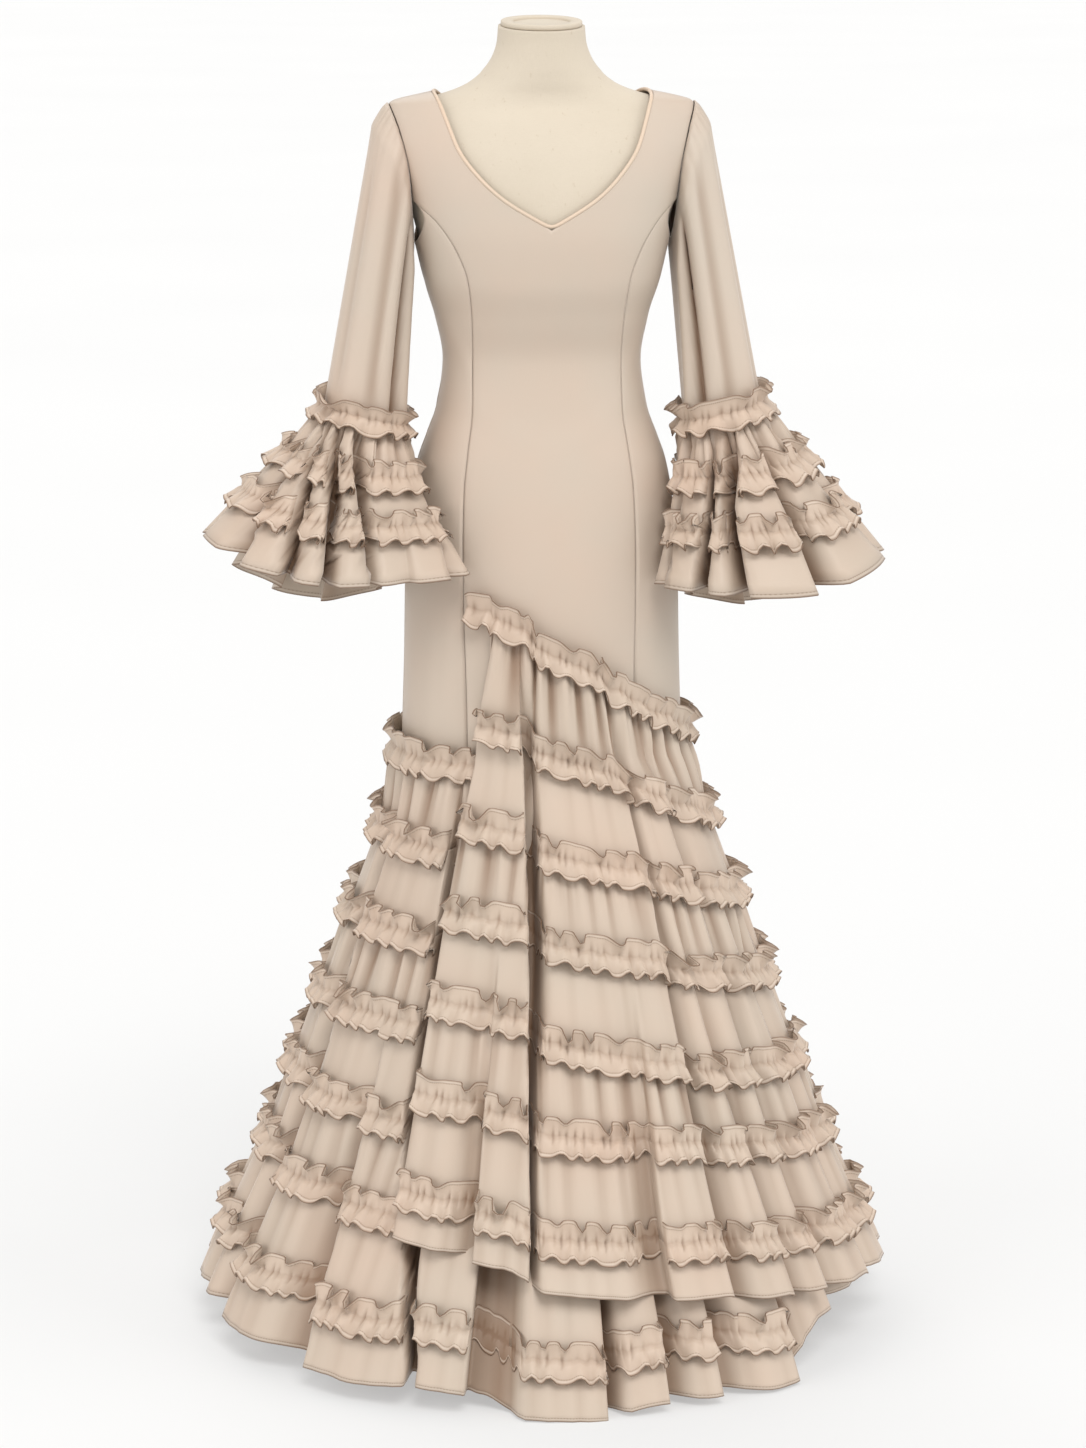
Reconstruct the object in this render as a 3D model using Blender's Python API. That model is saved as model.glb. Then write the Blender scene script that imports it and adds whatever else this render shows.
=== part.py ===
"""A flamenco dress on a limbless dress form that stands on a pole and a round base.

Metres, +Z up.  The front of the dress faces -Y, and the wearer's left is at +X.  The origin is on
the floor, at the middle of the base's underside.  The dress is a fitted princess-line body, two
sleeves with ruffled bell cuffs, and a seven-tier skirt that wraps round once and a third in one
spiral: it starts at a free edge on the right front, falls over its own start, and ends hidden.
"""

import math
from collections import namedtuple

import bmesh
import bpy
from mathutils import Vector

# ---------------------------------------------------------------- driving sizes
WALL = 0.002                # thickness of the cloth
RUFFLE_WALL = 0.0025        # a ruffle is the same cloth, doubled by its gathers
SEAM_GAP = 0.0005           # clearance between two pieces at a seam
ROUNDNESS = 2.2             # exponent of the body's oval sections: 2 is an ellipse
FORM_CLEARANCE = 0.0046     # from the form's skin to the inside of the cloth
BODY_BOTTOM = 0.6881        # lower edge of the fitted body, behind the skirt's first seam
RIDGE_START = 1.395         # above this the body's wall turns over towards the shoulder ridge
RIDGE_TOP = 1.445

FRONT = -1                  # side of a body panel, as the sign of its Y
BACK = 1

BodySection = namedtuple("BodySection", "height half_width front back")
BODY = [
    BodySection(0.650, 0.165, 0.116, 0.126),
    BodySection(0.690, 0.166, 0.118, 0.128),
    BodySection(0.800, 0.163, 0.114, 0.132),
    BodySection(0.900, 0.161, 0.111, 0.134),
    BodySection(0.980, 0.155, 0.106, 0.126),
    BodySection(1.030, 0.146, 0.100, 0.113),
    BodySection(1.060, 0.1355, 0.095, 0.102),
    BodySection(1.092, 0.1240, 0.090, 0.093),
    BodySection(1.150, 0.1160, 0.086, 0.086),
    BodySection(1.200, 0.1230, 0.098, 0.088),
    BodySection(1.245, 0.1385, 0.110, 0.093),
    BodySection(1.290, 0.1495, 0.113, 0.100),
    BodySection(1.336, 0.1620, 0.107, 0.103),
    BodySection(1.376, 0.1740, 0.096, 0.101),
    BodySection(1.405, 0.1800, 0.084, 0.094),
    BodySection(1.430, 0.1810, 0.069, 0.082),
    BodySection(1.445, 0.1770, 0.057, 0.071),
    BodySection(1.458, 0.1280, 0.051, 0.063),
    BodySection(1.463, 0.1070, 0.050, 0.060),
    BodySection(1.470, 0.0870, 0.050, 0.058),
    BodySection(1.482, 0.0680, 0.049, 0.055),
    BodySection(1.500, 0.0560, 0.049, 0.053),
    BodySection(1.520, 0.0510, 0.049, 0.051),
    BodySection(1.545, 0.0500, 0.050, 0.050),
]

PrincessSeam = namedtuple("PrincessSeam", "height front back")
PRINCESS = [
    PrincessSeam(0.650, 0.097, 0.092),
    PrincessSeam(0.740, 0.0975, 0.090),
    PrincessSeam(0.850, 0.100, 0.088),
    PrincessSeam(0.930, 0.1010, 0.084),
    PrincessSeam(1.000, 0.0990, 0.079),
    PrincessSeam(1.050, 0.0935, 0.074),
    PrincessSeam(1.100, 0.0870, 0.070),
    PrincessSeam(1.155, 0.0865, 0.069),
    PrincessSeam(1.200, 0.0880, 0.072),
    PrincessSeam(1.246, 0.0935, 0.080),
    PrincessSeam(1.280, 0.1060, 0.100),
    PrincessSeam(1.314, 0.1285, 0.126),
    PrincessSeam(1.336, 0.1535, 0.1535),
]

OpeningEdge = namedtuple("OpeningEdge", "height half_width")
ARMHOLE = [
    OpeningEdge(1.285, 0.1484),
    OpeningEdge(1.310, 0.1510),
    OpeningEdge(1.336, 0.1535),
    OpeningEdge(1.376, 0.1580),
    OpeningEdge(1.415, 0.1670),
    OpeningEdge(1.445, 0.1770),
]
FRONT_NECKLINE = [
    OpeningEdge(1.307, 0.0),
    OpeningEdge(1.333, 0.055),
    OpeningEdge(1.362, 0.083),
    OpeningEdge(1.396, 0.1035),
    OpeningEdge(1.428, 0.1165),
    OpeningEdge(1.445, 0.1225),
    OpeningEdge(1.4535, 0.1260),
    OpeningEdge(1.458, 0.128),
]
BackTop = namedtuple("BackTop", "across half_width height")
BACK_TOP = [                # upper edge of a back panel, from the middle to the shoulder tip
    BackTop(0.00, 0.000, 1.424),
    BackTop(0.30, 0.068, 1.432),
    BackTop(0.56, 0.112, 1.449),
    BackTop(0.76, 0.128, 1.458),
    BackTop(1.00, 0.177, 1.445),
]
JUNCTION = 1.336            # height where a princess seam meets the armhole
UNDERARM = 1.285
LOWER_ROWS = [0.81, 0.93, 1.01, 1.07, 1.15, 1.20, 1.245]            # panel rows below the bust
SHOULDER_ROWS = [1.365, 1.395, 1.418, 1.433, 1.441, 1.445]          # panel rows beside the armhole
SIDE_SHARES = [0.0, 0.28, 0.54, 0.78, 1.0]      # columns from the princess seam to the side seam
CENTRE_SHARES = [0.0, 0.28, 0.54, 0.78, 1.0]    # columns from the middle to the princess seam

BINDING_RADIUS = 0.0022

# sleeves: the ring at the cuff seam, as distances for the +X side
CUFF_SEAM_HEIGHT = 1.087
CUFF_SEAM_TILT = 0.013      # the outer side of the seam is this much higher, the inner lower
CUFF_SEAM_X = 0.2085
CUFF_SEAM_Y = -0.020
CUFF_SEAM_HALF_WIDTH = 0.0455
CUFF_SEAM_HALF_DEPTH = 0.052
SLEEVE_EASE = 0.012         # how far the sleeve stands out from a straight tube below its cap
SLEEVE_STEPS = [0.0, 0.07, 0.25, 0.50, 0.75, 1.0]    # rows of the sleeve, from the armhole down

CuffHem = namedtuple("CuffHem", "side outer front inner back")
CUFFS = [                   # heights of each bell cuff's hem
    CuffHem(-1, 0.955, 0.912, 0.914, 0.853),
    CuffHem(1, 0.922, 0.891, 0.896, 0.840),
]
CUFF_HEM_X = 0.254
CUFF_HEM_Y = -0.050
CUFF_HEM_HALF_WIDTH = 0.145
CUFF_HEM_HALF_DEPTH = 0.138
CUFF_LOBES = 10
CUFF_FOLD_DEPTH = 0.016
CUFF_HIP_MARGIN = 0.018     # the bell falls this clear of the hips
CuffRuffle = namedtuple("CuffRuffle", "name down")
CUFF_RUFFLES = [            # place of each ruffle, as a share of the way from the seam to the hem
    CuffRuffle("upper", 0.02),
    CuffRuffle("middle", 0.33),
    CuffRuffle("lower", 0.64),
]
CUFF_RUFFLE_REACH = 0.095   # half the height of a cuff ruffle, as a share of the same way

# skirt
WRAP_START = -32.0          # angle of the wrap's free edge, from the front towards the left side
WRAP_BACK = 180.0           # the seam that joins the over and the under lengths
WRAP_END = 452.0
UNDER_RUFFLE_END = 338.0    # the upper ruffles stop just behind the wrap's free edge
HEM_RUFFLE_END = 418.0      # the lowest ruffle runs on to where the over hem hides it
SkirtLevel = namedtuple(
    "SkirtLevel", "edge front left_front left back right right_front under_front under_left")
LEVEL_ANGLES = [-32.0, -5.0, 30.0, 84.0, 180.0, 264.0, 322.0, 368.0, 452.0]
LEVELS = [                  # heights of the seven gathered seams and the hem, round the spiral
    SkirtLevel(0.880, 0.836, 0.780, 0.712, 0.700, 0.694, 0.688, 0.688, 0.688),
    SkirtLevel(0.745, 0.712, 0.667, 0.610, 0.603, 0.602, 0.592, 0.580, 0.575),
    SkirtLevel(0.637, 0.604, 0.563, 0.518, 0.508, 0.505, 0.498, 0.490, 0.485),
    SkirtLevel(0.538, 0.508, 0.465, 0.422, 0.412, 0.408, 0.403, 0.395, 0.390),
    SkirtLevel(0.445, 0.406, 0.352, 0.326, 0.322, 0.320, 0.298, 0.290, 0.288),
    SkirtLevel(0.345, 0.306, 0.270, 0.236, 0.233, 0.232, 0.200, 0.195, 0.193),
    SkirtLevel(0.243, 0.198, 0.168, 0.138, 0.133, 0.128, 0.092, 0.065, 0.068),
    SkirtLevel(0.190, 0.142, 0.106, 0.068, 0.058, 0.042, 0.022, 0.006, 0.012),
]
SKIRT_TOP = 0.694           # the skirt's cone starts here
HALF_WIDTH_FLARE = 0.373    # growth of the cone's radius for each metre down
FRONT_FLARE = 0.434
BACK_FLARE = 0.424
WRAP_LAP = 0.0055           # the first seam lies this far outside the body
WRAP_LIFT = 0.020           # the over length stands this far outside the under length
WRAP_LIFT_DROP = 0.10       # and reaches it this far below its first seam
LIFT_FADE = (116.0, 260.0)  # turned angles between which the lift runs out
LAP_FADE = (358.0, 384.0)   # turned angles between which the lap runs out
FOLD_DEPTH = 0.034          # depth of a full fold
FOLD_DROP = 0.62            # distance below the first seam where folds are full
Fold = namedtuple("Fold", "start depth")
FOLDS = [                   # angle of each trough, and its share of the full depth
    Fold(-32.0, 0.35), Fold(-7.0, 1.0), Fold(22.0, 0.8), Fold(38.0, 0.7), Fold(56.0, 0.9),
    Fold(84.0, 0.7), Fold(114.0, 0.9), Fold(147.0, 0.8), Fold(180.0, 0.6), Fold(213.0, 0.9),
    Fold(243.0, 0.8), Fold(270.0, 0.7), Fold(293.0, 0.95), Fold(311.0, 0.7),
]
LOBE_SHOULDERS = (0.30, 0.70)   # a lobe is flat-topped between these shares of its width
HIDDEN_LOBE_SHOULDERS = (0.50,) # and comes to a plain crest where the under length is hidden
RUFFLE_HALF_HEIGHT = 0.025
RUFFLE_NEAR_STAND = 0.0007  # how far the ruffle's inner face stands off the tier at its sewn edge
RUFFLE_FAR_STAND = 0.0080   # and at its loose edge

# form and stand
NECK_TILT = math.radians(5.0)
NECK_TILT_START = 1.515
NECK_TOP = 1.545
CAP_RADIUS = 0.047
CAP_THICKNESS = 0.006
CAP_RECESS_RADIUS = 0.033
CAP_RECESS_DEPTH = 0.003
FORM_BOTTOM = 0.655
FORM_COLUMNS = 40
POLE_RADIUS = 0.0125
BASE_RADIUS = 0.165
BASE_THICKNESS = 0.011
BASE_EDGE = 0.003
FOOT_GAP = 0.0003           # between the pole and what it stands in

DRESS_COLOUR = (0.60, 0.49, 0.40, 1.0)
RUFFLE_COLOUR = (0.55, 0.44, 0.35, 1.0)
LINEN_COLOUR = (0.82, 0.78, 0.70, 1.0)
STAND_COLOUR = (0.10, 0.10, 0.10, 1.0)


# ---------------------------------------------------------------- small tools
def lerp(start, end, share):
    return start + (end - start) * share


def between(value, low, high):
    """Share of the way from low to high, held to 0..1."""
    return min(1.0, max(0.0, (value - low) / (high - low)))


def read_table(table, height, column):
    """A column of a table, interpolated at a height."""
    for lower, upper in zip(table, table[1:]):
        if height <= upper.height:
            break
    share = between(height, lower.height, upper.height)
    return lerp(getattr(lower, column), getattr(upper, column), share)


def make_material(name, colour, roughness, metallic=0.0):
    material = bpy.data.materials.new(name)
    material.use_nodes = True
    shader = material.node_tree.nodes["Principled BSDF"]
    shader.inputs["Base Color"].default_value = colour
    shader.inputs["Roughness"].default_value = roughness
    shader.inputs["Metallic"].default_value = metallic
    return material


def add_object(name, mesh_data, material):
    piece = bpy.data.objects.new(name, mesh_data)
    mesh_data.materials.append(material)
    collection.objects.link(piece)
    return piece


def mesh_object(name, mesh, material):
    bmesh.ops.recalc_face_normals(mesh, faces=mesh.faces)
    data = bpy.data.meshes.new(name)
    mesh.to_mesh(data)
    mesh.free()
    data.shade_smooth()
    data.set_sharp_from_angle(angle=math.radians(40.0))
    return add_object(name, data, material)


def split_quads(mesh, outward_of, proud):
    """Split each quad along the diagonal that lies further out (proud) or further in."""
    for face in list(mesh.faces):
        a, b, c, d = face.verts
        outward = a[outward_of] + b[outward_of] + c[outward_of] + d[outward_of]
        first_is_out = (a.co + c.co - b.co - d.co).dot(outward) >= 0.0
        if first_is_out == proud:
            bmesh.utils.face_split(face, a, c)
        else:
            bmesh.utils.face_split(face, b, d)


def make_wall(name, material, columns, rows, outer, inner, mirror=False, closed=False, proud=False):
    """A cloth wall: a grid laid on outer(column, row), extruded back to inner(column, row)."""
    mesh = bmesh.new()
    bmesh.ops.create_grid(mesh, x_segments=columns, y_segments=rows, size=0.5)
    column_of = mesh.verts.layers.int.new("column")
    row_of = mesh.verts.layers.int.new("row")
    flip_of = mesh.verts.layers.int.new("flip")
    outward_of = mesh.verts.layers.float_vector.new("outward")
    for vert in mesh.verts:
        vert[column_of] = round((vert.co.x + 0.5) * columns) % (columns if closed else columns + 1)
        vert[row_of] = round((vert.co.y + 0.5) * rows)
        vert[flip_of] = 1
        vert.co = outer(vert[column_of], vert[row_of])
        vert[outward_of] = vert.co - inner(vert[column_of], vert[row_of])
    if mirror:
        copies = bmesh.ops.duplicate(mesh, geom=mesh.verts[:] + mesh.edges[:] + mesh.faces[:])
        for vert in [item for item in copies["geom"] if isinstance(item, bmesh.types.BMVert)]:
            vert[flip_of] = -1
            vert.co.x = -vert.co.x
            vert[outward_of].x = -vert[outward_of].x
    bmesh.ops.remove_doubles(mesh, verts=mesh.verts, dist=1e-6)
    split_quads(mesh, outward_of, proud)
    bmesh.ops.recalc_face_normals(mesh, faces=mesh.faces)
    extruded = bmesh.ops.extrude_face_region(mesh, geom=mesh.faces[:], use_keep_orig=True)
    for vert in [item for item in extruded["geom"] if isinstance(item, bmesh.types.BMVert)]:
        place = inner(vert[column_of], vert[row_of])
        place.x *= vert[flip_of]
        vert.co = place
    return mesh_object(name, mesh, material)


# ---------------------------------------------------------------- the body's surface
def ridge_share(height):
    return between(height, RIDGE_START, RIDGE_TOP)


def body_point(x, height, side, depth=0.0):
    """A point of the body's surface, or one that lies a depth under it."""
    half_width = read_table(BODY, height, "half_width")
    reach = read_table(BODY, height, "front" if side == FRONT else "back")
    across = min(1.0, abs(x) / half_width)
    outward = (1.0 - across ** ROUNDNESS) ** (1.0 / ROUNDNESS)
    return Vector((
        x * (half_width - depth) / half_width,
        side * ((reach - depth) * outward + SEAM_GAP / 2),
        height - depth * ridge_share(height),
    ))


def armhole_height(share, column):
    """Height where the line between the princess seam and the side seam meets the armhole."""
    low, high = UNDERARM, JUNCTION
    for _ in range(40):
        middle = (low + high) / 2
        seam = (read_table(PRINCESS, middle, column), middle)
        side = (read_table(BODY, middle, "half_width"), middle)
        if spread(seam, side, share)[0] < read_table(ARMHOLE, middle, "half_width"):
            low = middle
        else:
            high = middle
    return (low + high) / 2



def section_angle(x, height):
    """Angle of a point of the oval section: 0 at its middle, a quarter turn at its side."""
    across = min(1.0, abs(x) / read_table(BODY, height, "half_width"))
    return math.asin(across ** (ROUNDNESS / 2.0))


def spread(inner, outer, share):
    """A place between two (x, height) places, evenly spread round the oval section."""
    height = lerp(inner[1], outer[1], share)
    angle = lerp(section_angle(*inner), section_angle(*outer), share)
    return math.sin(angle) ** (2.0 / ROUNDNESS) * read_table(BODY, height, "half_width"), height


def side_panel_point(column, row, side, sign, depth):
    name = "front" if side == FRONT else "back"
    share = SIDE_SHARES[column]
    top = UNDERARM if column == len(SIDE_SHARES) - 1 else armhole_height(share, name)
    heights = [BODY_BOTTOM] + LOWER_ROWS + [1.272, top]
    height = heights[row]
    seam_x = read_table(PRINCESS, height, name) + SEAM_GAP / 2
    edge_x = read_table(BODY, height, "half_width")
    if height == top:
        x = read_table(ARMHOLE, height, "half_width")
    else:
        x = spread((seam_x, height), (edge_x, height), share)[0]
    point = body_point(x, height, side, depth)
    point.x *= sign
    return point


def centre_outer_edge(height, name):
    """Outer edge of a centre panel: the princess seam, then the armhole."""
    if height < JUNCTION:
        return read_table(PRINCESS, height, name) - SEAM_GAP / 2
    return read_table(ARMHOLE, height, "half_width")


CENTRE_ROWS = [BODY_BOTTOM] + LOWER_ROWS + [1.280, 1.314, JUNCTION] + SHOULDER_ROWS
FRONT_INNER_ROWS = [BODY_BOTTOM] + LOWER_ROWS + [1.272] + [edge.height for edge in FRONT_NECKLINE]


def front_panel_point(column, row, depth):
    outer_height = CENTRE_ROWS[row]
    inner_height = FRONT_INNER_ROWS[row]
    inner_x = 0.0
    if inner_height >= FRONT_NECKLINE[0].height:
        inner_x = read_table(FRONT_NECKLINE, inner_height, "half_width")
    outer = (centre_outer_edge(outer_height, "front"), outer_height)
    return body_point(*spread((inner_x, inner_height), outer, CENTRE_SHARES[column]), FRONT, depth)


def back_panel_point(column, row, sign, depth):
    outer_height = CENTRE_ROWS[row]
    height = min(outer_height, JUNCTION)
    outer = (centre_outer_edge(height, "back"), height)
    x = spread((SEAM_GAP / 2, height), outer, BACK_TOP[column].across)[0]
    if outer_height > JUNCTION:
        up = (outer_height - JUNCTION) / (RIDGE_TOP - JUNCTION)
        base_x = x
        top = BACK_TOP[column]
        x = lerp(base_x, max(top.half_width, SEAM_GAP / 2), up)
        height = lerp(JUNCTION, top.height, up)
        if column == len(BACK_TOP) - 1:
            x = read_table(ARMHOLE, outer_height, "half_width")
    point = body_point(x, height, BACK, depth)
    point.x *= sign
    return point


def build_body_panels():
    rows = len(CENTRE_ROWS) - 1
    make_wall(
        "front_panel", cloth, len(CENTRE_SHARES) - 1, rows,
        lambda column, row: front_panel_point(column, row, 0.0),
        lambda column, row: front_panel_point(column, row, WALL), mirror=True, proud=True)
    for hand, sign in (("left", 1), ("right", -1)):
        make_wall(
            "back_panel_" + hand, cloth, len(BACK_TOP) - 1, rows,
            lambda column, row: back_panel_point(column, row, sign, 0.0),
            lambda column, row: back_panel_point(column, row, sign, WALL), proud=True)
        for label, side in (("front", FRONT), ("back", BACK)):
            make_wall(
                "side_" + label + "_" + hand, cloth, len(SIDE_SHARES) - 1, len(LOWER_ROWS) + 2,
                lambda column, row: side_panel_point(column, row, side, sign, 0.0),
                lambda column, row: side_panel_point(column, row, side, sign, WALL), proud=True)


def build_neck_binding():
    """Narrow piping in the neck opening, a seam's clearance from the panels' edges."""
    rows = len(CENTRE_ROWS) - 1
    edge = []
    for row in range(FRONT_INNER_ROWS.index(FRONT_NECKLINE[0].height), rows + 1):
        edge.append((front_panel_point(0, row, 0.0), front_panel_point(0, row, WALL)))
    for column in (2, 1, 0):
        edge.append((back_panel_point(column, rows, 1, 0.0), back_panel_point(column, rows, 1, WALL)))
    mirrored = []
    for outer, inner in reversed(edge[1:-1]):
        mirrored.append((Vector((-outer.x, outer.y, outer.z)), Vector((-inner.x, inner.y, inner.z))))
    loop = edge + mirrored
    curve = bpy.data.curves.new("neck_binding", "CURVE")
    curve.dimensions = "3D"
    curve.bevel_depth = BINDING_RADIUS
    curve.bevel_resolution = 1
    spline = curve.splines.new("POLY")
    spline.points.add(len(loop) - 1)
    spline.use_cyclic_u = True
    for index, (outer, inner) in enumerate(loop):
        before = (loop[index][0] - loop[index - 1][0]).normalized()
        after = (loop[(index + 1) % len(loop)][0] - loop[index][0]).normalized()
        along = (before + after).normalized()
        skin = (outer - inner).normalized()
        into_opening = skin.cross(along).normalized()
        reach = (BINDING_RADIUS + SEAM_GAP) / max(0.5, along.dot(after))
        place = (outer + inner) / 2 + into_opening * reach
        spline.points[index].co = (*place, 1.0)
    add_object("neck_binding", curve, cloth)


# ---------------------------------------------------------------- sleeves and cuffs
def armhole_ring(sign):
    """The armhole's edge as pairs of outer and inner points, from the shoulder tip down the front."""
    front, back = [], []
    junction_row = CENTRE_ROWS.index(JUNCTION)
    last_row = len(CENTRE_ROWS) - 1
    for row in range(last_row, junction_row - 1, -1):
        front.append(front_panel_point(len(CENTRE_SHARES) - 1, row, 0.0))
        back.append(back_panel_point(len(BACK_TOP) - 1, row, 1, 0.0))
    for column in range(1, len(SIDE_SHARES)):
        row = len(LOWER_ROWS) + 2
        front.append(side_panel_point(column, row, FRONT, 1, 0.0))
        back.append(side_panel_point(column, row, BACK, 1, 0.0))
    ring = front + list(reversed(back))[1:-1]
    tip = (front[0] + back[0]) / 2
    ring[0] = tip
    for point in ring:
        point.x *= sign
    return ring


def cuff_seam_point(sign, angle, shrink=0.0, lift=0.0):
    """Angle 0 is the outer side, a quarter turn the front, a half turn the side by the body."""
    return Vector((
        sign * (CUFF_SEAM_X + (CUFF_SEAM_HALF_WIDTH - shrink) * math.cos(angle)),
        CUFF_SEAM_Y - (CUFF_SEAM_HALF_DEPTH - shrink) * math.sin(angle),
        CUFF_SEAM_HEIGHT + CUFF_SEAM_TILT * math.cos(angle) + lift,
    ))


def build_sleeve(hand, sign):
    ring = armhole_ring(sign)
    columns = len(ring)
    middle = sum(ring, Vector()) / columns
    last = len(SLEEVE_STEPS) - 1

    def point(column, row, shrink):
        share = SLEEVE_STEPS[last - row]
        angle = 2.0 * math.pi * column / columns
        top = ring[column] + (middle - ring[column]).normalized() * shrink
        top.x += sign * SEAM_GAP * 2
        foot = cuff_seam_point(sign, angle, shrink, SEAM_GAP)
        place = top.lerp(foot, share)
        ease = SLEEVE_EASE * min(1.0, share / SLEEVE_STEPS[1]) * (1.0 - share)
        place.x += sign * ease * max(0.0, math.cos(angle))
        place.y -= ease * math.sin(angle)
        return place

    make_wall(
        "sleeve_" + hand, cloth, columns, last,
        lambda column, row: point(column, row, 0.0),
        lambda column, row: point(column, row, WALL), closed=True)


def clear_of_hips(point):
    """Move a point that would lie inside the hips straight out from the body's axis."""
    half_width = read_table(BODY, point.z, "half_width") + CUFF_HIP_MARGIN
    reach = read_table(BODY, point.z, "front" if point.y < 0 else "back") + CUFF_HIP_MARGIN
    size = (abs(point.x / half_width) ** ROUNDNESS + abs(point.y / reach) ** ROUNDNESS) ** (1 / ROUNDNESS)
    if size < 1.0:
        point.x /= size
        point.y /= size
    return point


def cuff_point(hem, column, down, stand=0.0):
    """A point of the bell cuff, a share of the way down, standing off its surface."""
    angle = math.pi * column / CUFF_LOBES
    cosine, sine = math.cos(angle), math.sin(angle)
    hem_height = cosine * cosine * (hem.outer if cosine > 0 else hem.inner)
    hem_height += sine * sine * (hem.front if sine > 0 else hem.back)
    seam_height = CUFF_SEAM_HEIGHT + CUFF_SEAM_TILT * cosine - SEAM_GAP
    fold = CUFF_FOLD_DEPTH * down * (column % 2)
    half_width = lerp(CUFF_SEAM_HALF_WIDTH, CUFF_HEM_HALF_WIDTH, down) - fold
    half_depth = lerp(CUFF_SEAM_HALF_DEPTH, CUFF_HEM_HALF_DEPTH, down) - fold
    centre_x = lerp(CUFF_SEAM_X, CUFF_HEM_X, down)
    centre_y = lerp(CUFF_SEAM_Y, CUFF_HEM_Y, down)
    point = Vector((
        centre_x + half_width * cosine,
        centre_y - half_depth * sine,
        lerp(seam_height, hem_height, down),
    ))
    point = clear_of_hips(point)
    outward = Vector((point.x - centre_x, point.y - centre_y, 0.0)).normalized()
    point += outward * stand
    point.x *= hem.side
    return point


def build_cuff(hand, hem):
    columns = 2 * CUFF_LOBES
    steps = [0.0, 0.5, 1.0]
    last = len(steps) - 1
    axis = (hem.side * CUFF_HEM_X, CUFF_HEM_Y)
    make_wall(
        "cuff_flounce_" + hand, cloth, columns, last,
        lambda column, row: cuff_point(hem, column, steps[last - row]),
        lambda column, row: cuff_point(hem, column, steps[last - row], -WALL),
        closed=True)
    for ruffle in CUFF_RUFFLES:
        top = ruffle.down - CUFF_RUFFLE_REACH
        foot = ruffle.down + CUFF_RUFFLE_REACH
        stands = [RUFFLE_FAR_STAND * 0.8, RUFFLE_NEAR_STAND]
        if ruffle.name == "upper":
            stands = [RUFFLE_NEAR_STAND, RUFFLE_FAR_STAND * 0.4]

        def point(column, row, extra):
            down = (foot, top)[row]
            on_cuff = cuff_on_grid(hem, column, down, steps)
            flat = Vector((on_cuff.x - axis[0], on_cuff.y - axis[1], 0.0)).normalized()
            if down <= 0.0:
                seam = cuff_seam_point(hem.side, math.pi * column / CUFF_LOBES)
                flat = Vector((seam.x - hem.side * CUFF_SEAM_X, seam.y - CUFF_SEAM_Y, 0.0)).normalized()
            return on_cuff + flat * (stands[row] + extra)

        make_wall(
            "cuff_ruffle_" + ruffle.name + "_" + hand, ruffle_cloth, columns, 1,
            lambda column, row: point(column, row, RUFFLE_WALL),
            lambda column, row: point(column, row, 0.0),
            closed=True, proud=True)


def cuff_on_grid(hem, column, down, steps):
    """A point on the flat facets of the flounce, or above its seam on the sleeve's foot."""
    if down <= 0.0:
        seam = cuff_seam_point(hem.side, math.pi * column / CUFF_LOBES)
        seam.z -= down * (CUFF_SEAM_HEIGHT - hem.front)
        return seam
    for upper, lower in zip(steps, steps[1:]):
        if down <= lower:
            break
    share = (down - upper) / (lower - upper)
    return cuff_point(hem, column, upper).lerp(cuff_point(hem, column, lower), share)


# ---------------------------------------------------------------- skirt
def level_height(level, angle):
    """Height of a seam or of the hem, at an angle counted on round the spiral."""
    heights = LEVELS[level]
    for index in range(len(LEVEL_ANGLES) - 1):
        if angle <= LEVEL_ANGLES[index + 1]:
            break
    share = between(angle, LEVEL_ANGLES[index], LEVEL_ANGLES[index + 1])
    return lerp(heights[index], heights[index + 1], share)


def section_radius(angle, height):
    """Distance from the axis to the body above the skirt's top, and to its cone below."""
    drop = max(0.0, SKIRT_TOP - height)
    held = max(height, SKIRT_TOP)
    half_width = read_table(BODY, held, "half_width") + HALF_WIDTH_FLARE * drop
    cosine = math.cos(math.radians(angle))
    if cosine > 0:
        reach = read_table(BODY, held, "front") + FRONT_FLARE * drop
    else:
        reach = read_table(BODY, held, "back") + BACK_FLARE * drop
    power = lerp(ROUNDNESS, 2.0, between(drop, 0.0, 0.3))
    sine = abs(math.sin(math.radians(angle))) / half_width
    return (sine ** power + (abs(cosine) / reach) ** power) ** (-1.0 / power)


def fold_columns(start, end):
    """Angles of the skirt's columns between two angles, each with its share of a fold's depth."""
    columns = []
    for turn, shoulders in ((0.0, LOBE_SHOULDERS), (360.0, HIDDEN_LOBE_SHOULDERS)):
        marks = FOLDS + [Fold(FOLDS[0].start + 360.0, FOLDS[0].depth)]
        for fold, following in zip(marks, marks[1:]):
            width = following.start - fold.start
            columns.append((fold.start + turn, fold.depth))
            for shoulder in shoulders:
                columns.append((fold.start + turn + shoulder * width, 0.0))
    inside = [column for column in columns if start < column[0] < end]
    return [(start, fold_share(columns, start))] + inside + [(end, fold_share(columns, end))]


def fold_share(columns, angle):
    for (angle_a, share_a), (angle_b, share_b) in zip(columns, columns[1:]):
        if angle_a <= angle <= angle_b:
            return lerp(share_a, share_b, between(angle, angle_a, angle_b))
    return 0.0


def skirt_point(column, height, depth=0.0):
    angle, fold = column
    turned = angle - WRAP_START
    drop = level_height(0, angle) - height
    radius = section_radius(angle, height)
    radius += WRAP_LAP * (1.0 - between(turned, *LAP_FADE))
    radius += WRAP_LIFT * between(drop, 0.0, WRAP_LIFT_DROP) * (1.0 - between(turned, *LIFT_FADE))
    radius -= fold * FOLD_DEPTH * between(drop, 0.0, FOLD_DROP)
    radius -= depth
    bearing = math.radians(angle)
    return Vector((radius * math.sin(bearing), -radius * math.cos(bearing), height))


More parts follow.
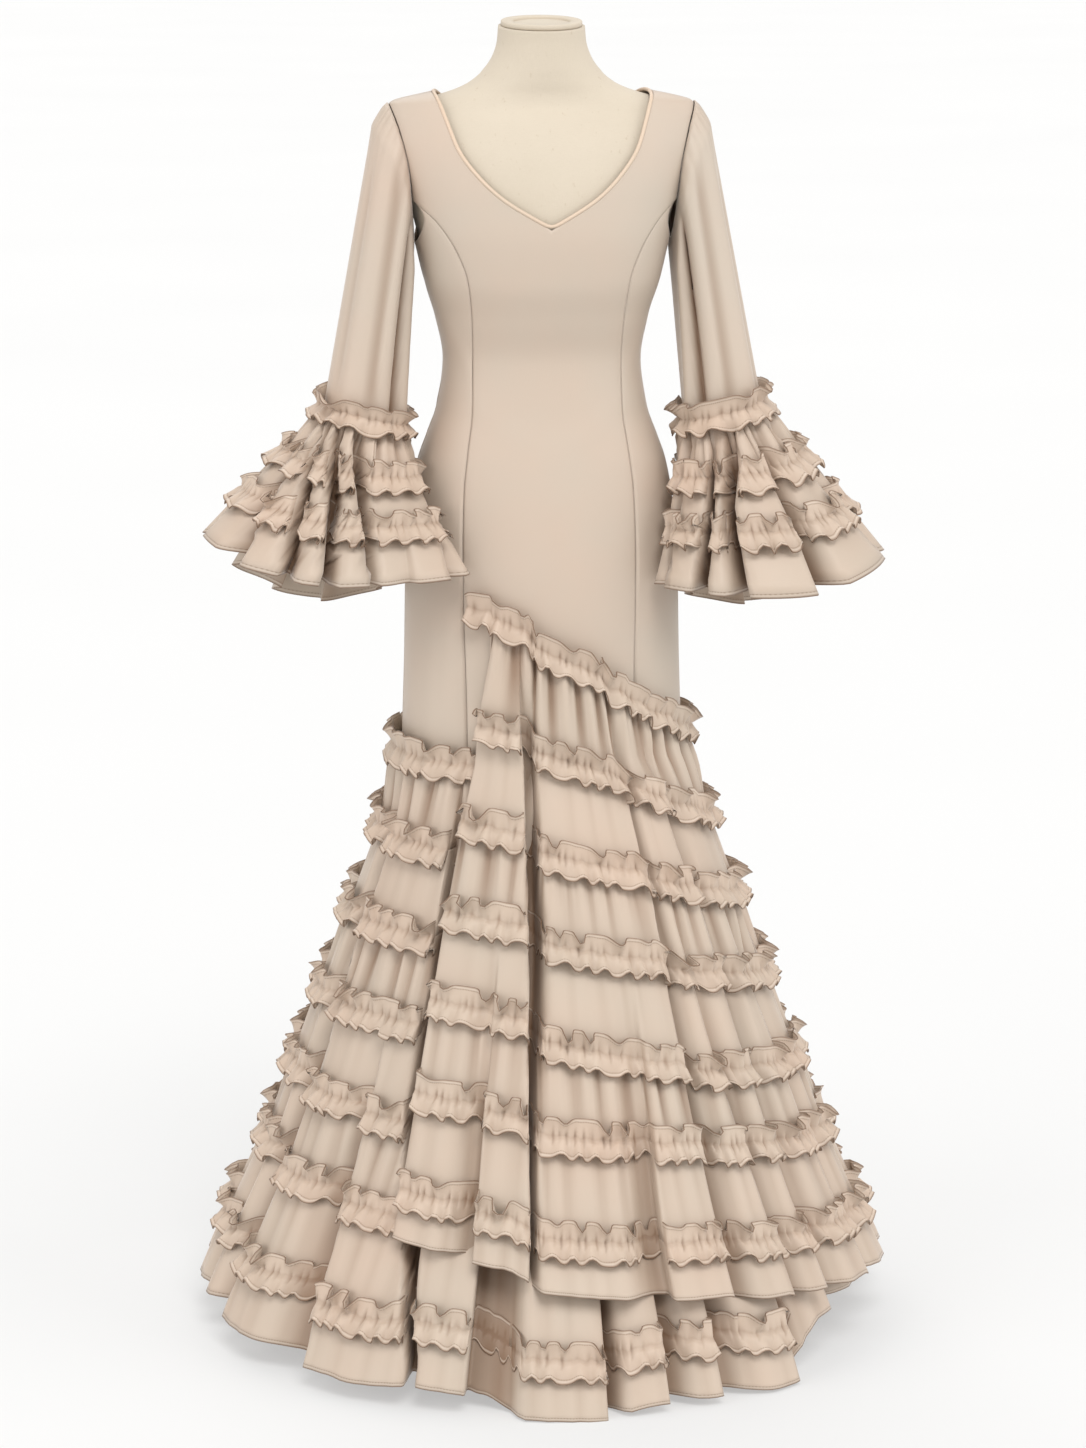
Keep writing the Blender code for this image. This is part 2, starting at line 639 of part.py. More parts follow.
def tier_point(level, column, down, depth=0.0):
    """A point on a tier's flat facets, a share of the way down from its seam."""
    top = level_height(level, column[0]) - SEAM_GAP / 2
    foot = level_height(level + 1, column[0]) + SEAM_GAP / 2
    return skirt_point(column, top, depth).lerp(skirt_point(column, foot, depth), down)


def build_tier(level, label, start, end):
    columns = fold_columns(start, end)
    make_wall(
        "skirt_tier_%d_%s" % (level + 1, label), cloth, len(columns) - 1, 1,
        lambda column, row: tier_point(level, columns[column], 1 - row),
        lambda column, row: tier_point(level, columns[column], 1 - row, WALL))


def build_skirt_ruffle(level, label, start, end):
    columns = fold_columns(start, end)

    def point(column, row, extra):
        angle = columns[column][0]
        seam = level_height(level, angle)
        if row == 0:
            share = RUFFLE_HALF_HEIGHT / (seam - level_height(level + 1, angle))
            place = tier_point(level, columns[column], share)
            stand = RUFFLE_NEAR_STAND if level == 0 else RUFFLE_FAR_STAND
        elif level == 0:
            place = skirt_point(columns[column], seam + RUFFLE_HALF_HEIGHT)
            stand = RUFFLE_FAR_STAND
        else:
            share = 1.0 - RUFFLE_HALF_HEIGHT / (level_height(level - 1, angle) - seam)
            place = tier_point(level - 1, columns[column], share)
            stand = RUFFLE_NEAR_STAND
        outward = Vector((place.x, place.y, 0.0)).normalized()
        return place + outward * (stand + extra)

    make_wall(
        "skirt_ruffle_%d_%s" % (level + 1, label), ruffle_cloth, len(columns) - 1, 1,
        lambda column, row: point(column, row, RUFFLE_WALL),
        lambda column, row: point(column, row, 0.0), proud=True)


def build_skirt():
    half_gap = math.degrees(SEAM_GAP / 0.3)
    for level in range(len(LEVELS) - 1):
        build_tier(level, "over", WRAP_START, WRAP_BACK - half_gap)
        build_tier(level, "under", WRAP_BACK + half_gap, WRAP_END)
        under_end = HEM_RUFFLE_END if level == len(LEVELS) - 2 else UNDER_RUFFLE_END
        build_skirt_ruffle(level, "over", WRAP_START, WRAP_BACK - half_gap)
        build_skirt_ruffle(level, "under", WRAP_BACK + half_gap, under_end)


# ---------------------------------------------------------------- form and stand
def form_point(column, section):
    """The form's skin: the body's section, drawn in under the cloth and full size at the neck."""
    bare = between(section.height, 1.450, 1.482)
    inset = (WALL + FORM_CLEARANCE) * (1.0 - bare)
    drop = inset * between(section.height, RIDGE_START, RIDGE_TOP)
    angle = 2.0 * math.pi * column / FORM_COLUMNS
    across, outward = math.sin(angle), -math.cos(angle)
    power = 2.0 / lerp(ROUNDNESS, 2.0, bare)
    reach = section.front if outward < 0 else section.back
    x = math.copysign(abs(across) ** power, across) * (section.half_width - inset)
    y = math.copysign(abs(outward) ** power, outward) * (reach - inset)
    tilt = between(section.height, NECK_TILT_START, NECK_TOP) * math.tan(NECK_TILT)
    return Vector((x, y, section.height - drop + y * tilt))


def form_sections():
    sections = [BodySection(FORM_BOTTOM, BODY[0].half_width, BODY[0].front, BODY[0].back)]
    sections += [section for section in BODY if section.height > FORM_BOTTOM]
    return sections


def build_form():
    sections = form_sections()
    mesh = bmesh.new()
    bmesh.ops.create_grid(mesh, x_segments=FORM_COLUMNS, y_segments=len(sections) - 1, size=0.5)
    for vert in mesh.verts:
        column = round((vert.co.x + 0.5) * FORM_COLUMNS) % FORM_COLUMNS
        vert.co = form_point(column, sections[round((vert.co.y + 0.5) * (len(sections) - 1))])
    bmesh.ops.remove_doubles(mesh, verts=mesh.verts, dist=1e-6)
    open_edges = [edge for edge in mesh.edges if edge.is_boundary]
    bmesh.ops.holes_fill(mesh, edges=open_edges, sides=0)
    mesh_object("form_body", mesh, linen)


def turned_object(name, profile, material, segments):
    """A profile of (radius, height) points, spun round the vertical."""
    mesh = bmesh.new()
    verts = [mesh.verts.new((radius, 0.0, height)) for radius, height in profile]
    edges = [mesh.edges.new(pair) for pair in zip(verts, verts[1:])]
    bmesh.ops.spin(
        mesh, geom=verts + edges, cent=(0, 0, 0), axis=(0, 0, 1), angle=2 * math.pi,
        steps=segments, use_merge=True)
    bmesh.ops.remove_doubles(mesh, verts=mesh.verts, dist=1e-6)
    return mesh_object(name, mesh, material)


def build_neck_cap():
    rim = CAP_THICKNESS * 0.35
    profile = [
        (0.0, 0.0), (CAP_RADIUS, 0.0), (CAP_RADIUS, CAP_THICKNESS - rim),
        (CAP_RADIUS - rim, CAP_THICKNESS), (CAP_RECESS_RADIUS, CAP_THICKNESS),
        (CAP_RECESS_RADIUS - rim / 2, CAP_THICKNESS - CAP_RECESS_DEPTH),
        (0.0, CAP_THICKNESS - CAP_RECESS_DEPTH),
    ]
    cap = turned_object("form_neck_cap", profile, linen, 32)
    cap.rotation_euler = (NECK_TILT, 0.0, 0.0)
    cap.location = (0.0, 0.0, NECK_TOP + FOOT_GAP)


def build_stand():
    base_profile = [
        (0.0, 0.0), (BASE_RADIUS - BASE_EDGE, 0.0), (BASE_RADIUS, BASE_EDGE),
        (BASE_RADIUS, BASE_THICKNESS - BASE_EDGE), (BASE_RADIUS - BASE_EDGE, BASE_THICKNESS),
        (0.0, BASE_THICKNESS),
    ]
    turned_object("stand_base", base_profile, painted_steel, 48)
    low = BASE_THICKNESS + FOOT_GAP
    high = FORM_BOTTOM - FOOT_GAP
    pole_profile = [(0.0, low), (POLE_RADIUS, low), (POLE_RADIUS, high), (0.0, high)]
    turned_object("stand_pole", pole_profile, painted_steel, 24)


# ---------------------------------------------------------------- assembly
for leftover in list(bpy.data.objects):
    bpy.data.objects.remove(leftover, do_unlink=True)
collection = bpy.data.collections.new("flamenco_dress_on_form")
bpy.context.scene.collection.children.link(collection)

cloth = make_material("dress_cloth", DRESS_COLOUR, 0.45)
ruffle_cloth = make_material("ruffle_cloth", RUFFLE_COLOUR, 0.45)
linen = make_material("form_linen", LINEN_COLOUR, 0.85)
painted_steel = make_material("stand_paint", STAND_COLOUR, 0.4)

build_form()
build_neck_cap()
build_stand()
build_body_panels()
build_neck_binding()
for hand, hem in zip(("right", "left"), CUFFS):
    build_sleeve(hand, hem.side)
    build_cuff(hand, hem)
build_skirt()
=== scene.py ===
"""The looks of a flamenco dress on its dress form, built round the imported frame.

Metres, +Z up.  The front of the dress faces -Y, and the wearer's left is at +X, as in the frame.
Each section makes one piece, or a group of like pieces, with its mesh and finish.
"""

import math
from collections import namedtuple

import bmesh
import bpy
import numpy as np
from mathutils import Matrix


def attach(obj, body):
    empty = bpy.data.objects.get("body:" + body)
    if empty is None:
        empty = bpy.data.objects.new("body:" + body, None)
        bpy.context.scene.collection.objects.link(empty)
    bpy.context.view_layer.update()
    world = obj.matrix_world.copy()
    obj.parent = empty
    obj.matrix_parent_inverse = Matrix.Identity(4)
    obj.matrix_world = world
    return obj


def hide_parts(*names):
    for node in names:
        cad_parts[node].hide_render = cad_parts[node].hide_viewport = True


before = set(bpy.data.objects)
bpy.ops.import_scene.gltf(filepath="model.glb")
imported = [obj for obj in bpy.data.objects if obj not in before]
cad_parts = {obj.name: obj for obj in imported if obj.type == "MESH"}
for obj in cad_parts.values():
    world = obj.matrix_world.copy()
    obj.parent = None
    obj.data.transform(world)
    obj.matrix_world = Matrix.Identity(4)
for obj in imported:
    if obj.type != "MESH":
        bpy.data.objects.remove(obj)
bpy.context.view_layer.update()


# ---------------------------------------------------------------- the dress form's torso
# A padded torso from the neck to the hips, covered in cream linen that is drawn tight.  It has no
# limbs, and the dress hangs a few millimetres off it.  The same oval sections shape the dress.
FRONT, BACK = -1, 1
ROUNDNESS = 2.2             # exponent of the oval sections: 2 is an ellipse
FORM_INSET = 0.0066         # the form's skin lies this far inside the cloth's outer side
BARE_FROM, BARE_TO = 1.450, 1.482       # over these heights the form comes out of the dress
SHOULDER_TURN = (1.395, 1.445)      # heights over which the cloth turns flat on the shoulder
FORM_FOOT = 0.655
NECK_TILT = math.radians(5.0)
NECK_TILT_START, NECK_TOP = 1.507, 1.532

Section = namedtuple("Section", "height half_width front back")
BODY = [
    Section(0.650, 0.165, 0.116, 0.126),
    Section(0.690, 0.166, 0.118, 0.128),
    Section(0.800, 0.163, 0.114, 0.132),
    Section(0.900, 0.161, 0.111, 0.134),
    Section(0.980, 0.155, 0.106, 0.126),
    Section(1.030, 0.146, 0.100, 0.113),
    Section(1.060, 0.1355, 0.095, 0.102),
    Section(1.092, 0.1240, 0.090, 0.093),
    Section(1.150, 0.1160, 0.086, 0.086),
    Section(1.200, 0.1230, 0.098, 0.088),
    Section(1.245, 0.1385, 0.110, 0.093),
    Section(1.290, 0.1495, 0.113, 0.100),
    Section(1.336, 0.1620, 0.107, 0.103),
    Section(1.376, 0.1740, 0.096, 0.101),
    Section(1.405, 0.1800, 0.084, 0.094),
    Section(1.430, 0.1810, 0.069, 0.082),
    Section(1.445, 0.1770, 0.057, 0.071),
    Section(1.458, 0.1280, 0.051, 0.063),
    Section(1.463, 0.1070, 0.050, 0.060),
    Section(1.470, 0.0870, 0.050, 0.058),
    Section(1.482, 0.0680, 0.049, 0.055),
    Section(1.500, 0.0560, 0.049, 0.053),
    Section(1.515, 0.0515, 0.049, 0.0515),
    Section(1.532, 0.0500, 0.050, 0.050),
]


def between(value, low, high):
    """Share of the way from low to high, held to 0..1."""
    return np.clip((value - low) / (high - low), 0.0, 1.0)


def eased(share):
    return share * share * (3.0 - 2.0 * share)


def lerp(start, end, share):
    return start + (end - start) * share


def smooth_through(at, values, places):
    """A smooth curve through (at, values), without overshoot, read at places."""
    at, values = np.asarray(at, float), np.asarray(values, float)
    gaps = np.diff(at)
    slopes = np.diff(values) / gaps
    tangents = np.zeros(len(at))
    before, after = slopes[:-1], slopes[1:]
    same_way = before * after > 0
    tangents[1:-1][same_way] = 2.0 * before[same_way] * after[same_way] / (before + after)[same_way]
    tangents[0], tangents[-1] = slopes[0], slopes[-1]
    places = np.clip(places, at[0], at[-1])
    left = np.clip(np.searchsorted(at, places, side="right") - 1, 0, len(gaps) - 1)
    gap = gaps[left]
    t = (places - at[left]) / gap
    return (
        (1 + 2 * t) * (1 - t) ** 2 * values[left] + t * (1 - t) ** 2 * gap * tangents[left]
        + t * t * (3 - 2 * t) * values[left + 1] + t * t * (t - 1) * gap * tangents[left + 1])


def read(table, places, column, key="height"):
    """A column of a table of named rows, read smoothly at places along its key column."""
    at = [getattr(row, key) for row in table]
    return smooth_through(at, [getattr(row, column) for row in table], places)


def run_along(points):
    """Distance of each point from the first, along the line they make."""
    steps = np.linalg.norm(np.diff(points, axis=0), axis=1)
    return np.concatenate([[0.0], np.cumsum(steps)])


def placed(name, data):
    """An object at the origin that holds a mesh, a lamp or a camera."""
    thing = bpy.data.objects.new(name, data)
    bpy.context.scene.collection.objects.link(thing)
    return thing


def grid_piece(name, columns, rows, place, size, closed=False, turned_over=False, marks=None):
    """A mesh piece made from a grid: place(across, up), both 0..1, gives its points.

    Its UVs run 0..size[0] along the grid's columns and 0..size[1] up its rows, in metres.  marks are
    the rows' places where they aren't evenly spaced.  place may also give each point's share of
    painted shade, deep in folds and creases, which the finish reads.
    """
    mesh = bmesh.new()
    mesh.loops.layers.uv.new("cloth")
    bmesh.ops.create_grid(mesh, x_segments=columns, y_segments=rows, size=0.5, calc_uvs=True)
    data = bpy.data.meshes.new(name)
    mesh.to_mesh(data)
    flat = np.empty(len(data.vertices) * 3)
    data.vertices.foreach_get("co", flat)
    flat = flat.reshape(-1, 3)
    across = np.round((flat[:, 0] + 0.5) * columns) / columns
    even = np.linspace(0.0, 1.0, rows + 1)
    marks = even if marks is None else marks
    up = np.interp(np.round((flat[:, 1] + 0.5) * rows) / rows, even, marks)
    if closed:
        across[across >= 1.0 - 1e-6] = 0.0
    points, painted_shade = place(across, up), None
    # Each point's share of painted shade, deep in folds and creases, is kept for the finish.
    if isinstance(points, tuple):
        points, painted_shade = points
        layer = data.attributes.new("painted_shade", "FLOAT", "POINT")
        layer.data.foreach_set("value", np.clip(painted_shade, 0.0, 1.0).astype(np.float32))
    data.vertices.foreach_set("co", points.astype(np.float32).ravel())
    uvs = np.empty(len(data.loops) * 2)
    data.uv_layers["cloth"].data.foreach_get("uv", uvs)
    uvs = uvs.reshape(-1, 2)
    uvs[:, 1] = np.interp(uvs[:, 1], even, marks)
    data.uv_layers["cloth"].data.foreach_set("uv", (uvs * size).ravel())
    mesh.clear()
    mesh.from_mesh(data)
    if closed:
        bmesh.ops.remove_doubles(mesh, verts=mesh.verts, dist=1e-6)
    if turned_over:
        bmesh.ops.reverse_faces(mesh, faces=mesh.faces)
    mesh.to_mesh(data)
    mesh.free()
    data.shade_smooth()
    return placed(name, data)


def give_wall(piece, thickness):
    wall = piece.modifiers.new("cloth wall", "SOLIDIFY")
    wall.thickness = thickness
    wall.offset = -1.0
    wall.use_even_offset = False


def finish_piece(piece, material, nodes):
    piece.data.materials.clear()
    piece.data.materials.append(material)
    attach(piece, "root")
    if nodes:
        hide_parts(*nodes)


class Field:
    """A number worked out by a material's nodes: Python's operators add Math nodes."""

    def __init__(self, finish, socket):
        self.finish, self.socket = finish, socket

    def math(self, operation, *values):
        return self.finish.node("ShaderNodeMath", {"operation": operation}, *values)[0]

    def __add__(self, other):
        return self.math("ADD", self, other)

    def __radd__(self, other):
        return self.math("ADD", other, self)

    def __sub__(self, other):
        return self.math("SUBTRACT", self, other)

    def __rsub__(self, other):
        return self.math("SUBTRACT", other, self)

    def __mul__(self, other):
        return self.math("MULTIPLY", self, other)

    def __rmul__(self, other):
        return self.math("MULTIPLY", other, self)

    def __truediv__(self, other):
        return self.math("DIVIDE", self, other)

    def near(self, middle, width):
        """A mask that is 1 where this number equals middle, and falls to 0 a width away."""
        gap = self.math("ABSOLUTE", self - middle)
        return gap.math("MAXIMUM", 1.0 - gap / width, 0.0)


class Finish:
    """A material with a Principled shader, and one way to add any other node."""

    def __init__(self, name):
        self.material = bpy.data.materials.new(name)
        self.material.use_nodes = True
        self.nodes = self.material.node_tree.nodes
        self.links = self.material.node_tree.links
        self.shader = self.nodes["Principled BSDF"]

    def put(self, socket, value):
        if isinstance(value, Field):
            self.links.new(value.socket, socket)
        elif value is not None:
            socket.default_value = value

    def node(self, kind, settings, *values, **named):
        made = self.nodes.new(kind)
        for setting, value in settings.items():
            setattr(made, setting, value)
        for socket, value in zip(made.inputs, values):
            self.put(socket, value)
        for socket_name, value in named.items():
            self.put(made.inputs[socket_name], value)
        return [Field(self, socket) for socket in made.outputs]

    def set(self, **sockets):
        """Shader sockets by name, with _ for a space."""
        for name, value in sockets.items():
            self.put(self.shader.inputs[name.replace("_", " ")], value)

    def blend(self, factor, start, end):
        """A colour between two colours."""
        return self.node(
            "ShaderNodeMix", {"data_type": "RGBA"}, factor, None, None, None, None, None, start, end)[2]

    def place(self):
        return self.node("ShaderNodeTexCoord", {})[3]

    def noise(self, where, scale, detail=2.0, roughness=0.5):
        named = {"Vector": where, "Scale": scale, "Detail": detail, "Roughness": roughness}
        return self.node("ShaderNodeTexNoise", {"noise_dimensions": "3D"}, **named)[0]

    def bump(self, height, distance, strength):
        named = {"Height": height, "Distance": distance, "Strength": strength}
        return self.node("ShaderNodeBump", {}, **named)[0]


LINEN_COLOUR, LINEN_LIGHT = (0.535, 0.468, 0.375, 1.0), (0.60, 0.532, 0.436, 1.0)
THREAD_SHADE, FLECK_COLOUR = (0.42, 0.355, 0.27, 1.0), (0.42, 0.34, 0.24, 1.0)


def linen_finish():
    """Cream linen: a plain weave with thick slubs, and a few darker flecks of stalk."""
    linen = Finish("form_linen")
    place = linen.place()
    threads = []
    for squash in ((0.16, 1.0, 1.0), (1.0, 1.0, 0.16)):
        turned = linen.node("ShaderNodeMapping", {}, place, None, None, squash)[0]
        threads.append(linen.noise(turned, 900.0, 1.0))
    weave = threads[0] * 0.5 + threads[1] * 0.5
    stretched = linen.node("ShaderNodeMapping", {}, place, None, (0.3, 0.5, 0.2), (1.0, 1.0, 0.45))[0]
    flecks = (linen.noise(stretched, 190.0, 2.0, 0.6) - 0.66) * 9.0
    flecks = flecks.math("MINIMUM", flecks.math("MAXIMUM", flecks, 0.0), 1.0)
    cloudy = linen.noise(place, 11.0, 3.0)
    ground = linen.blend(cloudy, LINEN_COLOUR, LINEN_LIGHT)
    ground = linen.blend(weave * 0.30, ground, THREAD_SHADE)
    linen.set(
        Base_Color=linen.blend(flecks * 0.42, ground, FLECK_COLOUR),
        Roughness=0.9, Specular_IOR_Level=0.15, Sheen_Weight=0.12, Sheen_Roughness=0.5,
        Normal=linen.bump(weave, 0.0004, 0.45))
    return linen.material


def form_point(turn, height):
    """The form's skin at a turn from the middle front, 0..1, towards the wearer's left."""
    bare = between(height, BARE_FROM, BARE_TO)
    inset = FORM_INSET * (1.0 - bare)
    drop = inset * between(height, *SHOULDER_TURN)
    angle = 2.0 * math.pi * turn
    sideways, ahead = np.sin(angle), np.cos(angle)
    power = 2.0 / lerp(ROUNDNESS, 2.0, bare)
    half_width = read(BODY, height, "half_width") - inset
    reach = np.where(ahead > 0, read(BODY, height, "front"), read(BODY, height, "back")) - inset
    x = np.sign(sideways) * np.abs(sideways) ** power * half_width
    y = -np.sign(ahead) * np.abs(ahead) ** power * reach
    tilt = between(height, NECK_TILT_START, NECK_TOP) * math.tan(NECK_TILT)
    return np.stack([x, y, height - drop + y * tilt], axis=-1)


def build_form():
    heights = [FORM_FOOT, 0.80, 0.95, 1.10, 1.20, 1.30, 1.38, 1.43, 1.455, 1.475, 1.50, 1.517, NECK_TOP]
    steps = np.linspace(0.0, 1.0, len(heights))
    form = grid_piece(
        "form_torso", 96, 84, lambda across, up: form_point(across, np.interp(up, steps, heights)),
        (0.9, 0.9), closed=True)
    mesh = bmesh.new()
    mesh.from_mesh(form.data)
    rims = [edge for edge in mesh.edges if edge.is_boundary]
    bmesh.ops.holes_fill(mesh, edges=rims, sides=0)
    caps = [face for face in mesh.faces if len(face.verts) > 4]
    inset = bmesh.ops.inset_region(mesh, faces=caps, thickness=0.004, use_even_offset=True)
    for face in caps + inset["faces"]:
        face.smooth = len(face.verts) == 4
    mesh.to_mesh(form.data)
    mesh.free()
    finish_piece(form, linen, ["form_body"])


linen = linen_finish()
build_form()


# ---------------------------------------------------------------- the neck cap
# A turned wooden disc covered in the same linen closes the form's neck.  Its top is sunk inside a
# rim, and it leans forward with the neck.
CAP_RADIUS, CAP_THICKNESS = 0.047, 0.006
CAP_RECESS_RADIUS, CAP_RECESS_DEPTH = 0.033, 0.003
CAP_GAP = 0.0003            # between the cap and the neck it sits on
CAP_ROUNDING = 0.0012


def spun_piece(name, profile, segments):
    """A profile of (radius, height) points turned round the vertical."""
    mesh = bmesh.new()
    verts = [mesh.verts.new((radius, 0.0, height)) for radius, height in profile]
    edges = [mesh.edges.new(pair) for pair in zip(verts, verts[1:])]
    bmesh.ops.spin(
        mesh, geom=verts + edges, cent=(0, 0, 0), axis=(0, 0, 1), angle=2 * math.pi,
        steps=segments, use_merge=True)
    bmesh.ops.remove_doubles(mesh, verts=mesh.verts, dist=1e-6)
    bmesh.ops.recalc_face_normals(mesh, faces=mesh.faces)
    data = bpy.data.meshes.new(name)
    mesh.to_mesh(data)
    mesh.free()
    data.shade_smooth()
    data.set_sharp_from_angle(angle=math.radians(50.0))
    return placed(name, data)


def build_neck_cap():
    floor_height = CAP_THICKNESS - CAP_RECESS_DEPTH
    profile = [
        (0.0, 0.0), (CAP_RADIUS - CAP_ROUNDING, 0.0), (CAP_RADIUS, CAP_ROUNDING),
        (CAP_RADIUS, CAP_THICKNESS - CAP_ROUNDING),
        (CAP_RADIUS - 0.4 * CAP_ROUNDING, CAP_THICKNESS - 0.3 * CAP_ROUNDING),
        (CAP_RADIUS - CAP_ROUNDING, CAP_THICKNESS), (CAP_RECESS_RADIUS + CAP_ROUNDING, CAP_THICKNESS),
        (CAP_RECESS_RADIUS, CAP_THICKNESS - CAP_ROUNDING), (CAP_RECESS_RADIUS, floor_height),
        (0.0, floor_height),
    ]
    cap = spun_piece("form_cap", profile, 72)
    cosine, sine = math.cos(NECK_TILT), math.sin(NECK_TILT)
    for vert in cap.data.vertices:
        x, y, z = vert.co
        vert.co = (x, y * cosine - z * sine, y * sine + z * cosine + NECK_TOP + CAP_GAP)
    finish_piece(cap, linen, ["form_neck_cap"])


build_neck_cap()


# ---------------------------------------------------------------- the stand
# A steel pole and a flat round base carry the form.  Both are painted satin black, and the skirt
# hides them.  The frame's own solids have the right shape, so they only take a finish.
def paint_finish():
    paint = Finish("stand_paint")
    spray = paint.noise(paint.place(), 700.0, 2.0)
    paint.set(
        Base_Color=paint.blend(spray, (0.018, 0.018, 0.019, 1.0), (0.032, 0.032, 0.034, 1.0)),
        Roughness=spray * 0.16 + 0.34, Metallic=0.0, Coat_Weight=0.1,
        Normal=paint.bump(spray, 0.0002, 0.35))
    return paint.material


paint = paint_finish()
for node in ("stand_base", "stand_pole"):
    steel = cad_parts[node]
    steel.data.materials.clear()
    steel.data.materials.append(paint)


# ---------------------------------------------------------------- the fitted body's panels
# Seven panels of beige satin-backed crepe: a V-necked front, two side fronts, two side backs and two
# backs, sewn at princess seams, side seams and a centre-back seam, and pressed open.
SEAM_GAP = 0.0005
CLOTH = 0.0014
BODY_FOOT = 0.6881
JUNCTION, UNDERARM = 1.336, 1.285       # where a princess seam meets the armhole, and its foot
SEAM_SINK, SEAM_WIDTH = 0.0006, 0.0036  # a pressed seam lies this much under the cloth beside it

PrincessSeam = namedtuple("PrincessSeam", "height front back")
PRINCESS = [
    PrincessSeam(0.650, 0.097, 0.092),
    PrincessSeam(0.740, 0.0975, 0.090),
    PrincessSeam(0.850, 0.100, 0.088),
    PrincessSeam(0.930, 0.1010, 0.084),
    PrincessSeam(1.000, 0.0990, 0.079),
    PrincessSeam(1.050, 0.0935, 0.074),
    PrincessSeam(1.100, 0.0870, 0.070),
    PrincessSeam(1.155, 0.0865, 0.069),
    PrincessSeam(1.200, 0.0880, 0.072),
    PrincessSeam(1.246, 0.0935, 0.080),
    PrincessSeam(1.280, 0.1060, 0.100),
    PrincessSeam(1.314, 0.1285, 0.126),
    PrincessSeam(1.336, 0.1535, 0.1535),
]
Edge = namedtuple("Edge", "height half_width")
ARMHOLE = [
    Edge(1.285, 0.1484), Edge(1.310, 0.1510), Edge(1.336, 0.1535), Edge(1.376, 0.1580),
    Edge(1.415, 0.1670), Edge(1.445, 0.1770),
]
NECKLINE = [
    Edge(1.307, 0.0), Edge(1.340, 0.055), Edge(1.366, 0.083), Edge(1.394, 0.1035),
    Edge(1.428, 0.1165), Edge(1.445, 0.1225), Edge(1.4535, 0.1260), Edge(1.458, 0.128),
]
BackTop = namedtuple("BackTop", "across half_width height")
BACK_TOP = [
    BackTop(0.00, 0.000, 1.424), BackTop(0.30, 0.068, 1.432), BackTop(0.56, 0.112, 1.449),
    BackTop(0.76, 0.128, 1.458), BackTop(1.00, 0.177, 1.445),
]
LOWER_ROWS = [0.81, 0.93, 1.01, 1.07, 1.15, 1.20, 1.245]
OUTER_ROWS = [BODY_FOOT, *LOWER_ROWS, 1.280, 1.314, JUNCTION, 1.365, 1.395, 1.418, 1.433, 1.441, 1.445]
SIDE_ROWS = [BODY_FOOT, *LOWER_ROWS, 1.272]
INNER_ROWS = [*SIDE_ROWS, *[edge.height for edge in NECKLINE]]
ROW_MARKS = np.linspace(0.0, 1.0, len(OUTER_ROWS))

# Soft pulls in the cloth: the middle of each, across and up, its lean from upright, how far it runs
# and spreads, and its height off the cloth (less than nothing for a trough).
Pull = namedtuple("Pull", "side x height lean length width relief")
PULLS = [
    Pull(FRONT, -0.128, 1.215, -8, 0.040, 0.007, 0.0016),
    Pull(FRONT, -0.118, 1.190, -14, 0.045, 0.006, 0.0012),
    Pull(FRONT, -0.100, 1.165, -24, 0.050, 0.008, 0.0014),
    Pull(FRONT, -0.142, 1.235, -4, 0.030, 0.006, -0.0012),
    Pull(FRONT, 0.126, 1.205, 10, 0.045, 0.007, 0.0014),
    Pull(FRONT, 0.112, 1.180, 20, 0.040, 0.007, 0.0012),
    Pull(FRONT, -0.060, 1.100, -52, 0.060, 0.014, 0.0010),
    Pull(FRONT, 0.064, 1.085, 56, 0.055, 0.013, 0.0010),
    Pull(FRONT, -0.118, 0.820, 2, 0.150, 0.010, 0.0016),
    Pull(FRONT, -0.137, 0.790, 1, 0.140, 0.008, 0.0015),
    Pull(FRONT, -0.072, 0.800, 3, 0.120, 0.014, -0.0014),
    Pull(FRONT, 0.118, 0.860, -3, 0.120, 0.012, 0.0013),
    Pull(FRONT, 0.139, 0.900, -4, 0.100, 0.009, 0.0013),
    Pull(FRONT, 0.040, 0.900, -12, 0.110, 0.026, 0.0010),
    Pull(FRONT, -0.120, 1.400, -20, 0.060, 0.016, 0.0010),
    Pull(FRONT, 0.122, 1.395, 22, 0.060, 0.016, 0.0010),
    Pull(BACK, -0.080, 1.090, 70, 0.040, 0.007, 0.0020),
    Pull(BACK, -0.072, 1.115, 76, 0.045, 0.007, 0.0018),
    Pull(BACK, 0.076, 1.096, -72, 0.045, 0.007, 0.0020),
    Pull(BACK, 0.066, 1.126, -80, 0.036, 0.006, 0.0015),
    Pull(BACK, 0.118, 0.850, 2, 0.130, 0.011, 0.0016),
    Pull(BACK, -0.124, 0.840, -3, 0.120, 0.010, 0.0015),
    Pull(BACK, -0.110, 1.230, 18, 0.050, 0.009, 0.0014),
    Pull(BACK, 0.112, 1.225, -16, 0.050, 0.009, 0.0014),
]

# Painted shade: the crepe is blended towards this deep brown deep inside folds, creases and gathers.
PAINTED_SHADE_COLOUR = (0.175, 0.092, 0.046, 1.0)
# A painted highlight for a rolled edge's roll, and one dark brown for both the stitches and the painted
# shadow along the rim.
ROLL_HIGHLIGHT_COLOUR, STITCH_AND_RIM_SHADE_COLOUR = (0.66, 0.57, 0.48, 1.0), (0.17, 0.10, 0.06, 1.0)
STITCH_LENGTH, STITCH_INSET = 0.0026, 0.0042        # one stitch, and how far in from an edge it is
RIM_SHADE_WIDTH, ROLL_HIGHLIGHT_WIDTH, STITCH_WIDTH = 0.0019, 0.0015, 0.0010


